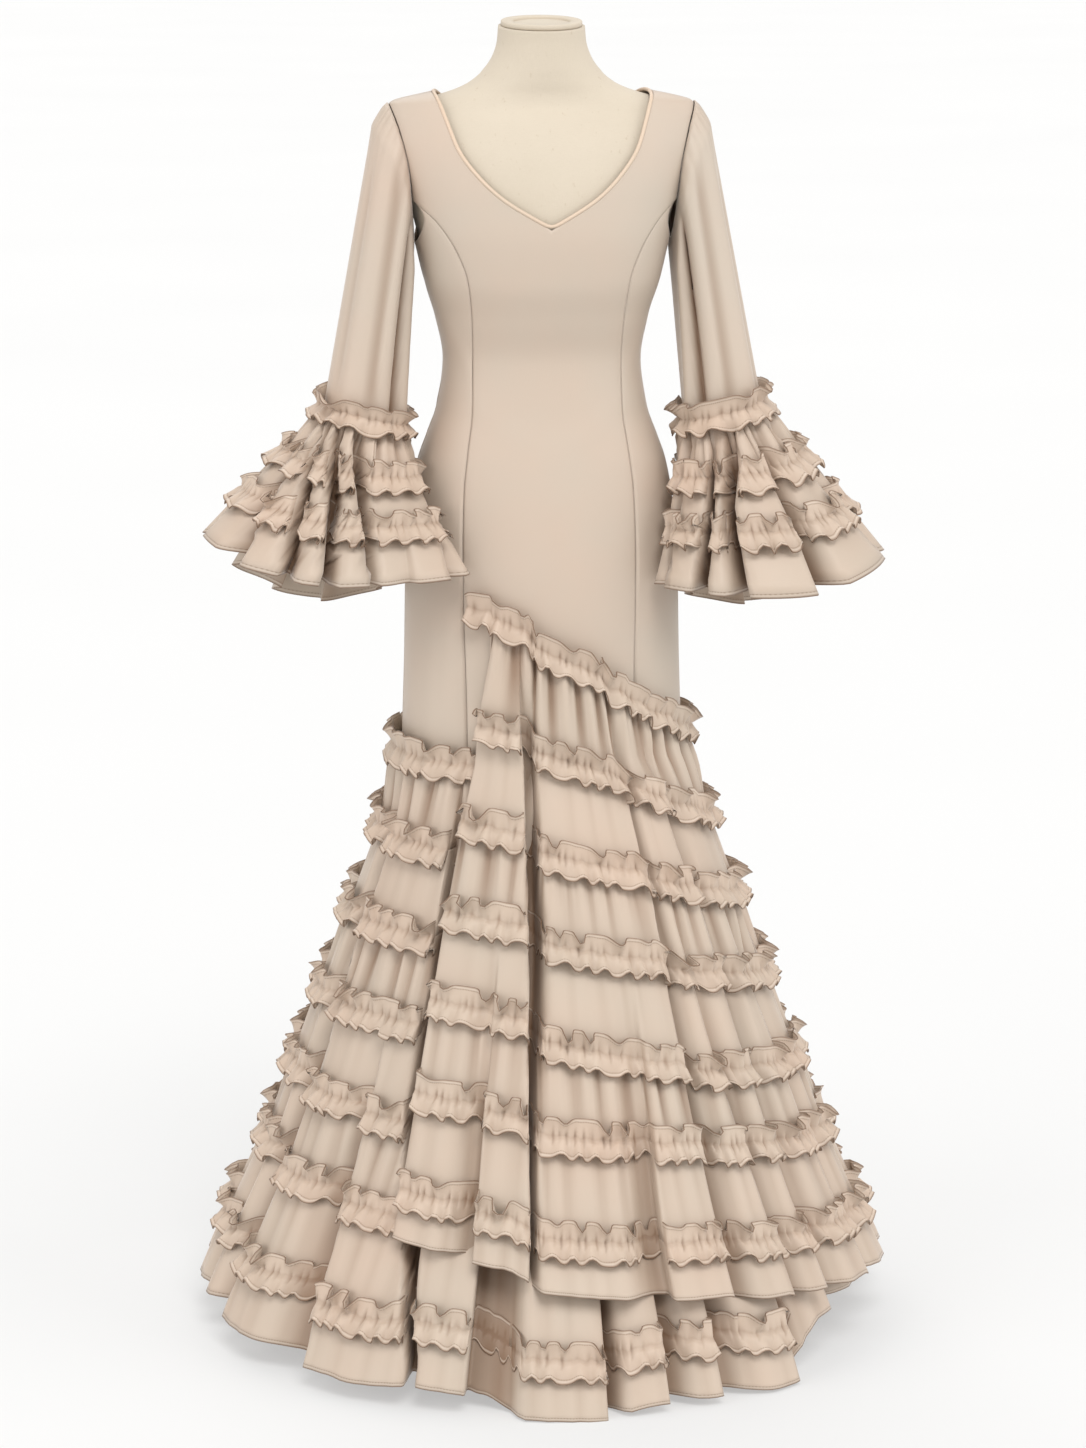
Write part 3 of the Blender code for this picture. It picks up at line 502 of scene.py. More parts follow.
def cloth_finish(name, ground, edges=(), painted_shade=0.0):
    """Beige crepe: a fine pebbled grain, soft uneven dye, and a pale lustre on its satin threads.

    edges lists where sewn or rolled edges lie, as (UV axis, place in metres): each gets a painted
    shadow along its rim, a painted highlight on its roll, and darker dashes of stitches beside it.
    The last argument is how strongly shade is painted, in a deep brown, deep inside folds and creases.
    """
    cloth = Finish(name)
    place = cloth.place()
    cloudy = cloth.noise(place, 5.5, 3.0, 0.55)
    warm = tuple(share * tint for share, tint in zip(ground, (1.03, 0.99, 0.97, 1.0)))
    cool = tuple(share * tint for share, tint in zip(ground, (0.965, 1.005, 1.01, 1.0)))
    colour = cloth.blend((cloudy - 0.30) * 2.2, cool, warm)
    # Painted shade: darker and browner where the mesh marks a point as deep in a fold or crease.
    if painted_shade:
        inside = cloth.node("ShaderNodeAttribute", {"attribute_name": "painted_shade"})[2]
        colour = cloth.blend(inside * painted_shade, colour, PAINTED_SHADE_COLOUR)
    grain = cloth.noise(place, 1500.0, 2.0, 0.6)
    threads = cloth.node("ShaderNodeMapping", {}, place, None, None, (1.0, 1.0, 0.12))[0]
    twill = cloth.noise(threads, 1100.0, 1.0)
    relief = grain * 0.6 + twill * 0.4
    if edges:
        uv = cloth.node("ShaderNodeSeparateXYZ", {}, cloth.node("ShaderNodeTexCoord", {})[2])
        for axis, edge in edges:
            away = uv[axis].math("ABSOLUTE", uv[axis] - edge)
            along = uv[1 - axis]
            # A painted shadow along the rim under the rolled edge, a painted highlight on the roll, and
            # darker dashes for the stitches.
            rim_shade = away.near(0.0, RIM_SHADE_WIDTH)
            roll = away.near(0.6 * STITCH_INSET, ROLL_HIGHLIGHT_WIDTH)
            seam = away.near(STITCH_INSET, STITCH_WIDTH)
            dashes = along.math("SINE", along * (2 * math.pi / STITCH_LENGTH)) * 0.35 + 0.65
            stitch = seam * dashes
            colour = cloth.blend(roll * 0.45, colour, ROLL_HIGHLIGHT_COLOUR)
            colour = cloth.blend(rim_shade * 0.92 + stitch * 0.62, colour, STITCH_AND_RIM_SHADE_COLOUR)
            relief = relief - seam * 1.6
    cloth.set(
        Base_Color=colour, Roughness=grain * 0.10 + 0.43, Specular_IOR_Level=0.32,
        Sheen_Weight=0.25, Sheen_Roughness=0.35, Sheen_Tint=(1.0, 0.93, 0.86, 1.0),
        Normal=cloth.bump(relief, 0.00025, 0.5))
    return cloth.material


def body_point(x, height, side, depth=0.0):
    """A point of the fitted body's surface, or one that lies a depth under it."""
    half_width = read(BODY, height, "half_width")
    reach = read(BODY, height, "front" if side == FRONT else "back")
    across = np.minimum(1.0, np.abs(x) / half_width)
    outward = (1.0 - across ** ROUNDNESS) ** (1.0 / ROUNDNESS)
    return np.stack([
        x * (half_width - depth * across ** 2) / half_width,
        side * ((reach - depth) * outward + SEAM_GAP / 2),
        height - depth * between(height, *SHOULDER_TURN),
    ], axis=-1)


def section_angle(x, height):
    half_width = read(BODY, height, "half_width")
    return np.arcsin(np.minimum(1.0, np.abs(x) / half_width) ** (ROUNDNESS / 2.0))


def spread(inner, outer, share):
    """A place between two (x, height) places, evenly spread round the oval section."""
    height = lerp(inner[1], outer[1], share)
    angle = lerp(section_angle(*inner), section_angle(*outer), share)
    return np.sin(angle) ** (2.0 / ROUNDNESS) * read(BODY, height, "half_width"), height


def pulled(x, height, side):
    """Relief of the soft pulls at a place on the body."""
    relief = np.zeros_like(x)
    for pull in PULLS:
        if pull.side != side:
            continue
        lean = math.radians(pull.lean)
        off_x, off_height = x - pull.x, height - pull.height
        along = off_x * math.sin(lean) + off_height * math.cos(lean)
        beside = off_x * math.cos(lean) - off_height * math.sin(lean)
        fade = np.exp(-(along / pull.length) ** 2) * np.exp(-(beside / pull.width) ** 2)
        relief += pull.relief * fade
    return relief


def seam_sink(distance):
    return SEAM_SINK * np.exp(-(distance / SEAM_WIDTH) ** 2)


def front_panel_place(across, up):
    outer_height = np.interp(up, ROW_MARKS, OUTER_ROWS)
    inner_height = np.interp(up, ROW_MARKS, INNER_ROWS)
    inner_x = np.where(inner_height > NECKLINE[0].height, read(NECKLINE, inner_height, "half_width"), 0.0)
    seam_x = read(PRINCESS, outer_height, "front") - SEAM_GAP / 2
    outer_x = np.where(outer_height < JUNCTION, seam_x, read(ARMHOLE, outer_height, "half_width"))
    x, height = spread((inner_x, inner_height), (outer_x, outer_height), across)
    depth = seam_sink(outer_x - x) - pulled(x, height, FRONT)
    return body_point(x, height, FRONT, depth)


def side_panel_place(across, up, side, sign):
    name = "front" if side == FRONT else "back"
    marks = np.linspace(0.0, 1.0, len(SIDE_ROWS) + 1)
    top = lerp(JUNCTION, UNDERARM, eased(across) * 0.45 + across * 0.55)
    height = np.where(
        up <= marks[-2], np.interp(up, marks[:-1], SIDE_ROWS),
        lerp(SIDE_ROWS[-1], top, between(up, marks[-2], marks[-1])))
    seam_x = read(PRINCESS, height, name) + SEAM_GAP / 2
    edge_x = read(BODY, height, "half_width")
    armhole_x = read(ARMHOLE, height, "half_width")
    edge_x = np.where(height > UNDERARM, np.minimum(edge_x, armhole_x), edge_x)
    edge_x = np.maximum(edge_x, seam_x)
    x = spread((seam_x, height), (edge_x, height), across)[0]
    depth = seam_sink(x - seam_x) + seam_sink(edge_x - x) - pulled(sign * x, height, side)
    return body_point(x, height, side, depth)


def back_panel_place(across, up, sign):
    outer_height = np.interp(up, ROW_MARKS, OUTER_ROWS)
    below = np.minimum(outer_height, JUNCTION)
    seam_x = np.where(
        outer_height < JUNCTION, read(PRINCESS, below, "back") - SEAM_GAP / 2,
        read(ARMHOLE, JUNCTION, "half_width"))
    x = spread((np.full_like(up, SEAM_GAP / 2), below), (seam_x, below), across)[0]
    climb = between(outer_height, JUNCTION, SHOULDER_TURN[1])
    top_x = np.maximum(read(BACK_TOP, across, "half_width", "across"), SEAM_GAP / 2)
    top_height = read(BACK_TOP, across, "height", "across")
    shoulder = between(across, BACK_TOP[-2].across, BACK_TOP[-1].across)
    ridge_height = lerp(BACK_TOP[-2].height, BACK_TOP[-1].height, shoulder)
    top_height = np.where(shoulder > 0, ridge_height, top_height)
    top_x = np.where(shoulder > 0, read(BODY, ridge_height, "half_width"), top_x)
    armhole_x = read(ARMHOLE, outer_height, "half_width")
    raised_x = np.where(across >= 1.0, armhole_x, lerp(x, top_x, climb))
    x = np.where(outer_height > JUNCTION, raised_x, x)
    height = np.where(outer_height > JUNCTION, lerp(JUNCTION, top_height, climb), below)
    edge_x = np.where(outer_height < JUNCTION, seam_x, armhole_x)
    depth = seam_sink(edge_x - x) + seam_sink(x) - pulled(sign * x, height, BACK)
    return body_point(x, height, BACK, depth)


def mirrored_piece(piece):
    """Joins a half panel to its mirror image at the middle."""
    mesh = bmesh.new()
    mesh.from_mesh(piece.data)
    geometry = mesh.verts[:] + mesh.edges[:] + mesh.faces[:]
    bmesh.ops.mirror(mesh, geom=geometry, axis="X", merge_dist=1e-5)
    bmesh.ops.recalc_face_normals(mesh, faces=mesh.faces)
    mesh.to_mesh(piece.data)
    mesh.free()
    piece.data.shade_smooth()


def flipped(points, sign):
    points = np.array(points)
    points[..., 0] *= sign
    return points


def declare_panel(panel, node):
    """A panel of the body: its finish and its wall."""
    give_wall(panel, CLOTH)
    finish_piece(panel, crepe, [node])


CREPE_COLOUR = (0.50, 0.412, 0.337, 1.0)
crepe = cloth_finish("dress_crepe", CREPE_COLOUR)
front_half = grid_piece("front_panel_cloth", 32, 112, front_panel_place, (0.14, 0.77))
mirrored_piece(front_half)
declare_panel(front_half, "front_panel")
for hand, sign in (("left", 1), ("right", -1)):
    back_half = grid_piece(
        "back_panel_cloth_" + hand, 28, 90,
        lambda across, up: flipped(back_panel_place(across, up, sign), sign), (0.14, 0.77),
        turned_over=sign > 0)
    declare_panel(back_half, "back_panel_" + hand)
    for label, side in (("front", FRONT), ("back", BACK)):
        panel = grid_piece(
            "side_%s_cloth_%s" % (label, hand), 24, 80,
            lambda across, up: flipped(side_panel_place(across, up, side, sign), sign),
            (0.12, 0.64), turned_over=sign * side > 0)
        declare_panel(panel, "side_%s_%s" % (label, hand))


# ---------------------------------------------------------------- the neck piping
# A narrow bias-cut strip of the same crepe, rolled and sewn into the neck opening.  It follows the
# front panel's neckline and the back panels' top edges round the neck.
PIPING_RADIUS = 0.0021
PIPING_REACH = 0.75 * PIPING_RADIUS     # how far its middle lies out into the opening
PIPING_WALL = 0.0007
PIPING_COLOUR = (0.60, 0.47, 0.36, 1.0)


def neck_edge():
    """The neck opening's edge from the V's point up over the wearer's left shoulder to the back."""
    heights = lerp(NECKLINE[0].height, NECKLINE[-1].height, np.linspace(0.0, 1.0, 60) ** 0.9)
    x = read(NECKLINE, heights, "half_width")
    front = [body_point(x, heights, FRONT, depth) for depth in (0.0, CLOTH)]
    across = np.linspace(BACK_TOP[3].across, 0.0, 40)
    x = read(BACK_TOP, across, "half_width", "across")
    heights = read(BACK_TOP, across, "height", "across")
    back = [body_point(x, heights, BACK, depth) for depth in (0.0, CLOTH)]
    outer = np.concatenate([front[0], back[0][1:]])
    inner = np.concatenate([front[1], back[1][1:]])
    return outer, inner


def build_piping():
    outer, inner = neck_edge()
    other_side = slice(-2, 0, -1)
    outer = np.concatenate([outer, outer[other_side] * (-1, 1, 1)])
    inner = np.concatenate([inner, inner[other_side] * (-1, 1, 1)])
    along = np.roll(outer, -1, axis=0) - np.roll(outer, 1, axis=0)
    along /= np.linalg.norm(along, axis=1)[:, None]
    skin = outer - inner
    skin /= np.linalg.norm(skin, axis=1)[:, None]
    into_opening = np.cross(skin, along)
    into_opening /= np.linalg.norm(into_opening, axis=1)[:, None]
    path = (outer + inner) / 2 + into_opening * PIPING_REACH
    for smoothing in range(2):
        path = (np.roll(path, 1, axis=0) + 2 * path + np.roll(path, -1, axis=0)) / 4
    columns = len(path)

    def place(across, up):
        column = np.round(across * columns).astype(int) % columns
        turn = 2 * math.pi * up
        around = skin[column] * np.cos(turn)[:, None] + into_opening[column] * np.sin(turn)[:, None]
        return path[column] + around * PIPING_RADIUS

    piping = grid_piece("neck_piping", columns, 12, place, (1.0, 0.014), closed=True)
    mesh = bmesh.new()
    mesh.from_mesh(piping.data)
    bmesh.ops.remove_doubles(mesh, verts=mesh.verts, dist=1e-6)
    bmesh.ops.recalc_face_normals(mesh, faces=mesh.faces)
    mesh.to_mesh(piping.data)
    mesh.free()
    give_wall(piping, PIPING_WALL)
    finish_piece(piping, piping_cloth, ["neck_binding"])


piping_cloth = cloth_finish("neck_piping_crepe", PIPING_COLOUR)
build_piping()


# ---------------------------------------------------------------- the sleeves
# Long one-piece sleeves, eased into the armholes with a few small gathers over the shoulder and
# hanging straight.  Each closes at a short seam where its bell cuff is sewn on.
CUFF_SEAM_HEIGHT, CUFF_SEAM_TILT = 1.087, 0.013
CUFF_SEAM_X, CUFF_SEAM_Y = 0.2100, -0.020
CUFF_SEAM_HALF_WIDTH, CUFF_SEAM_HALF_DEPTH = 0.0440, 0.052
SLEEVE_LENGTH = 0.36
SLEEVE_EASE, SLEEVE_EASE_FROM = 0.012, 0.07

ArmholeStep = namedtuple("ArmholeStep", "turn height")
ARMHOLE_STEPS = [           # height of the armhole's edge at a share of the half turn round it
    ArmholeStep(0.0, 1.4450), ArmholeStep(0.1, 1.4405), ArmholeStep(0.2, 1.4320),
    ArmholeStep(0.3, 1.4180), ArmholeStep(0.4, 1.3950), ArmholeStep(0.5, 1.3650),
    ArmholeStep(0.6, 1.3360), ArmholeStep(0.7, 1.3210), ArmholeStep(0.8, 1.3060),
    ArmholeStep(0.9, 1.2930), ArmholeStep(1.0, 1.2850),
]
# Long soft folds: where each starts and ends round the sleeve, in degrees from its outer side
# towards the front, how wide it is, how far it runs, and its height off the sleeve.
SleeveFold = namedtuple("SleeveFold", "top foot width begins ends relief")
SLEEVE_FOLDS = {
    -1: [
        SleeveFold(116, 136, 9, 0.00, 1.00, -0.0110),
        SleeveFold(136, 158, 11, 0.03, 1.00, 0.0060),
        SleeveFold(74, 92, 12, -0.05, 0.95, -0.0042),
        SleeveFold(96, 108, 9, 0.00, 0.80, 0.0034),
        SleeveFold(48, 56, 13, 0.02, 1.00, 0.0026),
        SleeveFold(28, 34, 9, 0.10, 0.90, -0.0022),
        SleeveFold(205, 215, 14, 0.10, 1.00, -0.0050),
        SleeveFold(236, 240, 12, 0.05, 0.95, 0.0040),
        SleeveFold(290, 284, 13, 0.02, 0.90, -0.0036),
        SleeveFold(325, 322, 12, 0.08, 1.00, 0.0024),
    ],
    1: [
        SleeveFold(110, 130, 10, 0.00, 1.00, -0.0110),
        SleeveFold(131, 152, 11, 0.05, 1.00, 0.0060),
        SleeveFold(86, 104, 11, 0.00, 0.90, 0.0030),
        SleeveFold(66, 84, 12, 0.00, 1.00, -0.0040),
        SleeveFold(40, 46, 12, 0.03, 0.95, 0.0026),
        SleeveFold(20, 24, 9, 0.12, 1.00, -0.0020),
        SleeveFold(212, 204, 14, 0.08, 1.00, -0.0050),
        SleeveFold(244, 238, 12, 0.04, 0.95, 0.0038),
        SleeveFold(284, 290, 13, 0.05, 0.90, -0.0036),
        SleeveFold(330, 326, 12, 0.06, 1.00, 0.0024),
    ],
}
CAP_GATHERS = 7             # small pleats over the top of the armhole
CAP_GATHER_DEPTH, CAP_GATHER_FADE = 0.0022, 0.07
CAP_GATHER_MIDDLE, CAP_GATHER_SPREAD = 10.0, 110.0      # degrees round the sleeve
FOLD_RISE, FOLD_FADE = 0.22, (-0.1, 0.15)       # how far along itself a fold rises, and ends


def armhole_point(turn):
    """The armhole's edge, 0..1 from the shoulder tip round by the front; for the +X side."""
    half = 1.0 - np.abs(1.0 - 2.0 * turn)
    height = read(ARMHOLE_STEPS, half, "height", "turn")
    x = read(ARMHOLE, height, "half_width")
    front = body_point(x, height, FRONT)
    back = body_point(x, height, BACK)
    return np.where((turn <= 0.5)[:, None], front, back)


def cuff_seam_point(turn, sign, lift=0.0):
    """The cuff's seam, 0..1 from the outer side round by the front."""
    angle = 2.0 * math.pi * turn
    return np.stack([
        sign * (CUFF_SEAM_X + CUFF_SEAM_HALF_WIDTH * np.cos(angle)),
        CUFF_SEAM_Y - CUFF_SEAM_HALF_DEPTH * np.sin(angle),
        CUFF_SEAM_HEIGHT + CUFF_SEAM_TILT * np.cos(angle) + lift,
    ], axis=-1)


def angle_between(a, b):
    """Difference of two angles in degrees, -180..180."""
    return (a - b + 180.0) % 360.0 - 180.0


def sleeve_place(across, up, sign):
    down = 1.0 - up
    angle = 2.0 * math.pi * across
    top = armhole_point(across)
    top[:, 0] = sign * (top[:, 0] + 2 * SEAM_GAP)
    foot = cuff_seam_point(across, sign, SEAM_GAP)
    place = lerp(top, foot, down[:, None])
    ease = SLEEVE_EASE * np.minimum(1.0, down / SLEEVE_EASE_FROM) * (1.0 - down)
    outward = np.stack([sign * np.cos(angle), -np.sin(angle), np.zeros_like(angle)], axis=-1)
    push = outward.copy()
    push[:, 0] = sign * np.maximum(0.0, np.cos(angle))
    place += push * ease[:, None]
    degrees = across * 360.0
    relief = np.zeros_like(across)
    for fold in SLEEVE_FOLDS[sign]:
        middle = lerp(fold.top, fold.foot, down)
        runs = eased(between(down, fold.begins, fold.begins + FOLD_RISE)) * (
            1.0 - eased(between(down, fold.ends + FOLD_FADE[0], fold.ends + FOLD_FADE[1])))
        relief += fold.relief * runs * np.exp(-(angle_between(degrees, middle) / fold.width) ** 2)
    from_cap = angle_between(degrees, CAP_GATHER_MIDDLE) / CAP_GATHER_SPREAD
    over_cap = np.cos(np.clip(from_cap, -1, 1) * math.pi / 2)
    pleats = np.cos(angle * 4.0 * CAP_GATHERS + 0.8 * np.sin(3 * angle))
    strength = over_cap * eased(between(down, 0.0, 0.02)) * np.exp(-down / CAP_GATHER_FADE)
    relief += CAP_GATHER_DEPTH * pleats * strength
    relief -= seam_sink(down * SLEEVE_LENGTH) * 0.8
    # Painted shade in the valleys of the folds, the gathers and the seam.
    return place + outward * relief[:, None], 0.85 * between(-relief, 0.0005, 0.008)


# The sleeves' finish paints shade into their fold valleys.
sleeve_crepe = cloth_finish("sleeve_crepe", CREPE_COLOUR, painted_shade=1.0)
for hand, sign in (("left", 1), ("right", -1)):
    sleeve = grid_piece(
        "sleeve_cloth_" + hand, 96, 66, lambda across, up: sleeve_place(across, up, sign),
        (SLEEVE_LENGTH, SLEEVE_LENGTH), closed=True, turned_over=sign < 0)
    give_wall(sleeve, CLOTH)
    finish_piece(sleeve, sleeve_crepe, ["sleeve_" + hand])


# ---------------------------------------------------------------- the skirt's tiers
# One long wrap of seven bias-flared strips, sewn one under the next.  It starts at a free edge on the
# wearer's right front, goes round by the left hip and the back, and ends under its own start.  Each
# strip is joined at the centre back, so it has an over length and an under length.  Turns are in
# degrees from the front towards the wearer's left, and count on past 360 round the wrap.
WRAP_START, WRAP_BACK, WRAP_END = -32.0, 180.0, 452.0
LEVEL_TURNS = [WRAP_START, -5.0, 30.0, 84.0, WRAP_BACK, 264.0, 322.0, 368.0, WRAP_END]
LEVELS = [                  # heights of the seven seams and of the hem, at each of those turns
    [0.868, 0.829, 0.777, 0.712, 0.700, 0.694, 0.688, 0.688, 0.688],
    [0.745, 0.712, 0.667, 0.610, 0.603, 0.602, 0.592, 0.580, 0.575],
    [0.637, 0.604, 0.563, 0.518, 0.508, 0.505, 0.498, 0.490, 0.485],
    [0.538, 0.508, 0.465, 0.422, 0.412, 0.408, 0.403, 0.395, 0.390],
    [0.445, 0.406, 0.352, 0.326, 0.322, 0.320, 0.298, 0.290, 0.288],
    [0.345, 0.306, 0.270, 0.236, 0.233, 0.232, 0.200, 0.195, 0.193],
    [0.243, 0.198, 0.168, 0.138, 0.133, 0.128, 0.092, 0.065, 0.068],
    [0.190, 0.142, 0.106, 0.068, 0.058, 0.048, 0.022, 0.003, 0.012],
]
TIERS = len(LEVELS) - 1
TIER_ROWS = [0.0, 0.12, 0.26, 0.40, 0.54, 0.66, 0.77, 0.86, 0.93, 0.975, 1.0]
TIER_SPACING = {"over": 0.85, "under": 1.0}     # degrees between a strip's columns
SKIRT_TOP = 0.694
WIDTH_FLARE, FRONT_FLARE, BACK_FLARE = 0.373, 0.434, 0.424      # how much the radius grows per metre
WRAP_LAP, LAP_FADE = 0.0055, (326.0, 352.0)
WRAP_LIFT, WRAP_LIFT_DROP, LIFT_FADE = 0.020, 0.10, (20.0, 150.0)
SIDE_SAG, FRONT_KICK = 0.0155, 0.019    # how far the cone is drawn in at its sides, and out in front
UNDER_TUCK, TAIL_TUCK = 0.012, 0.014    # how much further in the hidden under length and its tail hang
RECESS_TUCK = 0.024         # and how much more where the front's deep recess lies over it
RECESS_TURN, RECESS_SPREAD = 350.5, 7.0
HIDDEN_FROM, TAIL_TURNS = (334.0, 342.0), (398.0, 416.0)        # where it goes under, and comes out again
FOLD_DEPTH = 0.034
FOLD_RAMP = 0.30            # a fold is at its full depth this far below where it begins
FOLD_OVERHANG = 0.010       # the crest of a fold laps this far over its trough
FOLD_TURNBACK = 1.7         # degrees of cloth in the turned-back side of a fold
CREST_REACH = 0.55          # share of the way back to the last trough over which a crest is shifted
FOLD_TRACK, FOOT_TRACK = (0.12, 0.92), (0.40, 0.85)     # shares of the drop over which a fold moves
                                                        # round, and over which its gap changes
GATHERS = [1.0, 0.12, 0.80, 0.15, 0.70, 0.30, 0.20]     # strength of the gathers under each seam
GATHER_WIDTH, GATHER_DEPTH, GATHER_FADE = 0.0125, 0.0030, 0.030
PLEAT_WIDTH, PLEAT_DEPTH, PLEAT_FADE = 0.031, 0.0042, 0.085

# Each fold's trough: its turn at the top, halfway and at the hem, its share of the full depth, how
# far below the first seam it begins, which way its crest laps over it (+1 towards the wearer's
# left), the share of the next crest's width that its open side takes to rise, and the degrees
# of open trough before that side: gap, or foot near the hem.
Fold = namedtuple("Fold", "top middle hem depth begins laps opens gap foot", defaults=[0.60, 0.0, None])
FOLDS = [
    Fold(-32.0, -32.0, -32.0, 0.90, 0.00, -1), Fold(-19.0, -19.0, -18.5, 0.60, 0.34, -1, 0.5),
    Fold(-16.4, -11.0, -8.5, 1.10, 0.03, 1, 0.12, 4.6, 0.0),
    Fold(16.5, 18.0, 15.8, 0.58, 0.34, -1, 0.25, 1.0, 2.0),
    Fold(30.6, 27.6, 27.0, 1.00, 0.03, 1, 0.5, 0.8),
    Fold(37.0, 38.0, 40.0, 0.80, 0.24, 1, 0.5, 0.8), Fold(46.5, 47.3, 48.0, 0.95, 0.04, 1, 0.5, 0.8),
    Fold(60.0, 62.0, 63.5, 0.85, 0.22, 1), Fold(74.0, 76.0, 78.0, 0.85, 0.05, 1, 0.6, 1.0),
    Fold(90.0, 91.0, 92.0, 0.75, 0.26, 1), Fold(106.0, 106.0, 107.0, 0.90, 0.05, 1, 0.6, 1.0),
    Fold(121.0, 122.0, 122.0, 0.55, 0.26, 1), Fold(138.0, 138.0, 137.0, 0.85, 0.05, 1, 0.6, 1.0),
    Fold(155.0, 154.0, 154.0, 0.50, 0.34, 1), Fold(171.0, 171.0, 170.0, 0.80, 0.06, 1, 0.5, 1.0),
    Fold(188.0, 187.0, 187.0, 0.55, 0.30, -1), Fold(205.0, 204.0, 204.0, 0.90, 0.05, -1, 0.6, 1.0),
    Fold(221.0, 221.0, 222.0, 0.55, 0.30, -1), Fold(238.0, 237.0, 238.0, 0.85, 0.05, -1, 0.6, 1.0),
    Fold(252.0, 252.0, 251.0, 0.50, 0.34, -1), Fold(265.0, 267.0, 268.0, 0.90, 0.05, -1, 0.6, 1.0),
    Fold(277.0, 279.0, 278.0, 0.50, 0.28, -1), Fold(288.5, 292.0, 290.0, 1.15, 0.00, -1, 0.5, 3.5),
    Fold(305.0, 311.0, 313.5, 0.80, 0.26, -1, 0.5, 0.5, 3.0),
    Fold(317.5, 320.5, 332.0, 1.20, 0.00, 1, 0.2, 8.0, 0.5),
    Fold(342.5, 342.5, 342.5, 0.75, 0.25, 1, 0.12, 6.5),
    Fold(364.0, 364.0, 364.0, 0.95, 0.15, 1, 0.3, 0.8), Fold(374.0, 374.0, 374.0, 0.80, 0.30, 1, 0.5, 1.0),
    Fold(383.0, 383.0, 383.0, 0.85, 0.20, 1), Fold(398.0, 398.0, 398.0, 0.80, 0.20, 1),
    Fold(413.0, 413.0, 413.0, 0.80, 0.15, 1), Fold(430.0, 430.0, 430.0, 0.70, 0.20, 1),
    Fold(452.0, 452.0, 452.0, 0.40, 0.10, 1),
]
FIRST_RIDGE, RIDGE_DEPTH = -46.0, 0.7   # a turn before the wrap, and the least depth of a fold that steps
STEP, STEP_RUN = 0.36, 0.08     # share of a band's slope that is taken up at its folds, and how near
EDGE_SWING, EDGE_RUN = 3.2, 14.0        # degrees the free edge swings out, and over which it fades
UNDER_SCALLOPS = [          # turns, and how far the lowest seams and the hem rise there
    (300.0, 0.0), (322.0, 0.002), (334.0, 0.012), (345.0, 0.009), (350.0, -0.004), (362.0, -0.005),
    (371.0, 0.008), (384.0, 0.006), (394.0, -0.001), (400.0, 0.006), (407.0, 0.048), (432.0, 0.052),
    (452.0, 0.052),
]
END_SPACING = 15.0          # degrees to the next fold, where there is none
PAINTED_SHADE_SHARE = 0.9          # how much shade is painted deep inside a fold or a gather
CUT_EASE = 1.1              # width of a strip as cut, for each metre that shows


def level_height(level, turn):
    """Height of a seam or the hem.  It falls in small steps, as the cloth goes back under each fold."""
    ridges = [FIRST_RIDGE] + [fold.middle for fold in FOLDS if fold.depth >= RIDGE_DEPTH]
    lobe = np.clip(np.searchsorted(ridges, turn, side="right") - 1, 0, len(ridges) - 2)
    low, high = np.take(ridges, lobe), np.take(ridges, lobe + 1)
    share = (turn - low) / (high - low)
    jump = (eased(between(share, 0.0, STEP_RUN)) + eased(between(share, 1.0 - STEP_RUN, 1.0))) / 2
    stepped = lerp(low, high, lerp(share, jump, STEP))
    height = smooth_through(LEVEL_TURNS, LEVELS[level], stepped)
    at, rises = zip(*UNDER_SCALLOPS)
    return height + smooth_through(at, rises, turn) * between(level, 4.0, 6.0)


def section_radius(turn, height):
    """Distance from the axis to the body above the skirt's top, and to its cone below."""
    drop = np.maximum(0.0, SKIRT_TOP - height)
    held = np.maximum(height, SKIRT_TOP)
    cosine, sine = np.cos(np.radians(turn)), np.abs(np.sin(np.radians(turn)))
    sag = eased(between(drop, 0.0, 0.10)) * (1.0 - eased(between(drop, 0.45, 0.66)))
    half_width = read(BODY, held, "half_width") + WIDTH_FLARE * drop - SIDE_SAG * sag
    kick = FRONT_KICK * eased(between(drop, 0.45, 0.69))
    front = read(BODY, held, "front") + FRONT_FLARE * drop + kick
    back = read(BODY, held, "back") + BACK_FLARE * drop
    power = lerp(ROUNDNESS, 2.0, between(drop, 0.0, 0.3))
    reach = np.where(cosine > 0, front, back)
    return ((sine / half_width) ** power + (np.abs(cosine) / reach) ** power) ** (-1.0 / power)


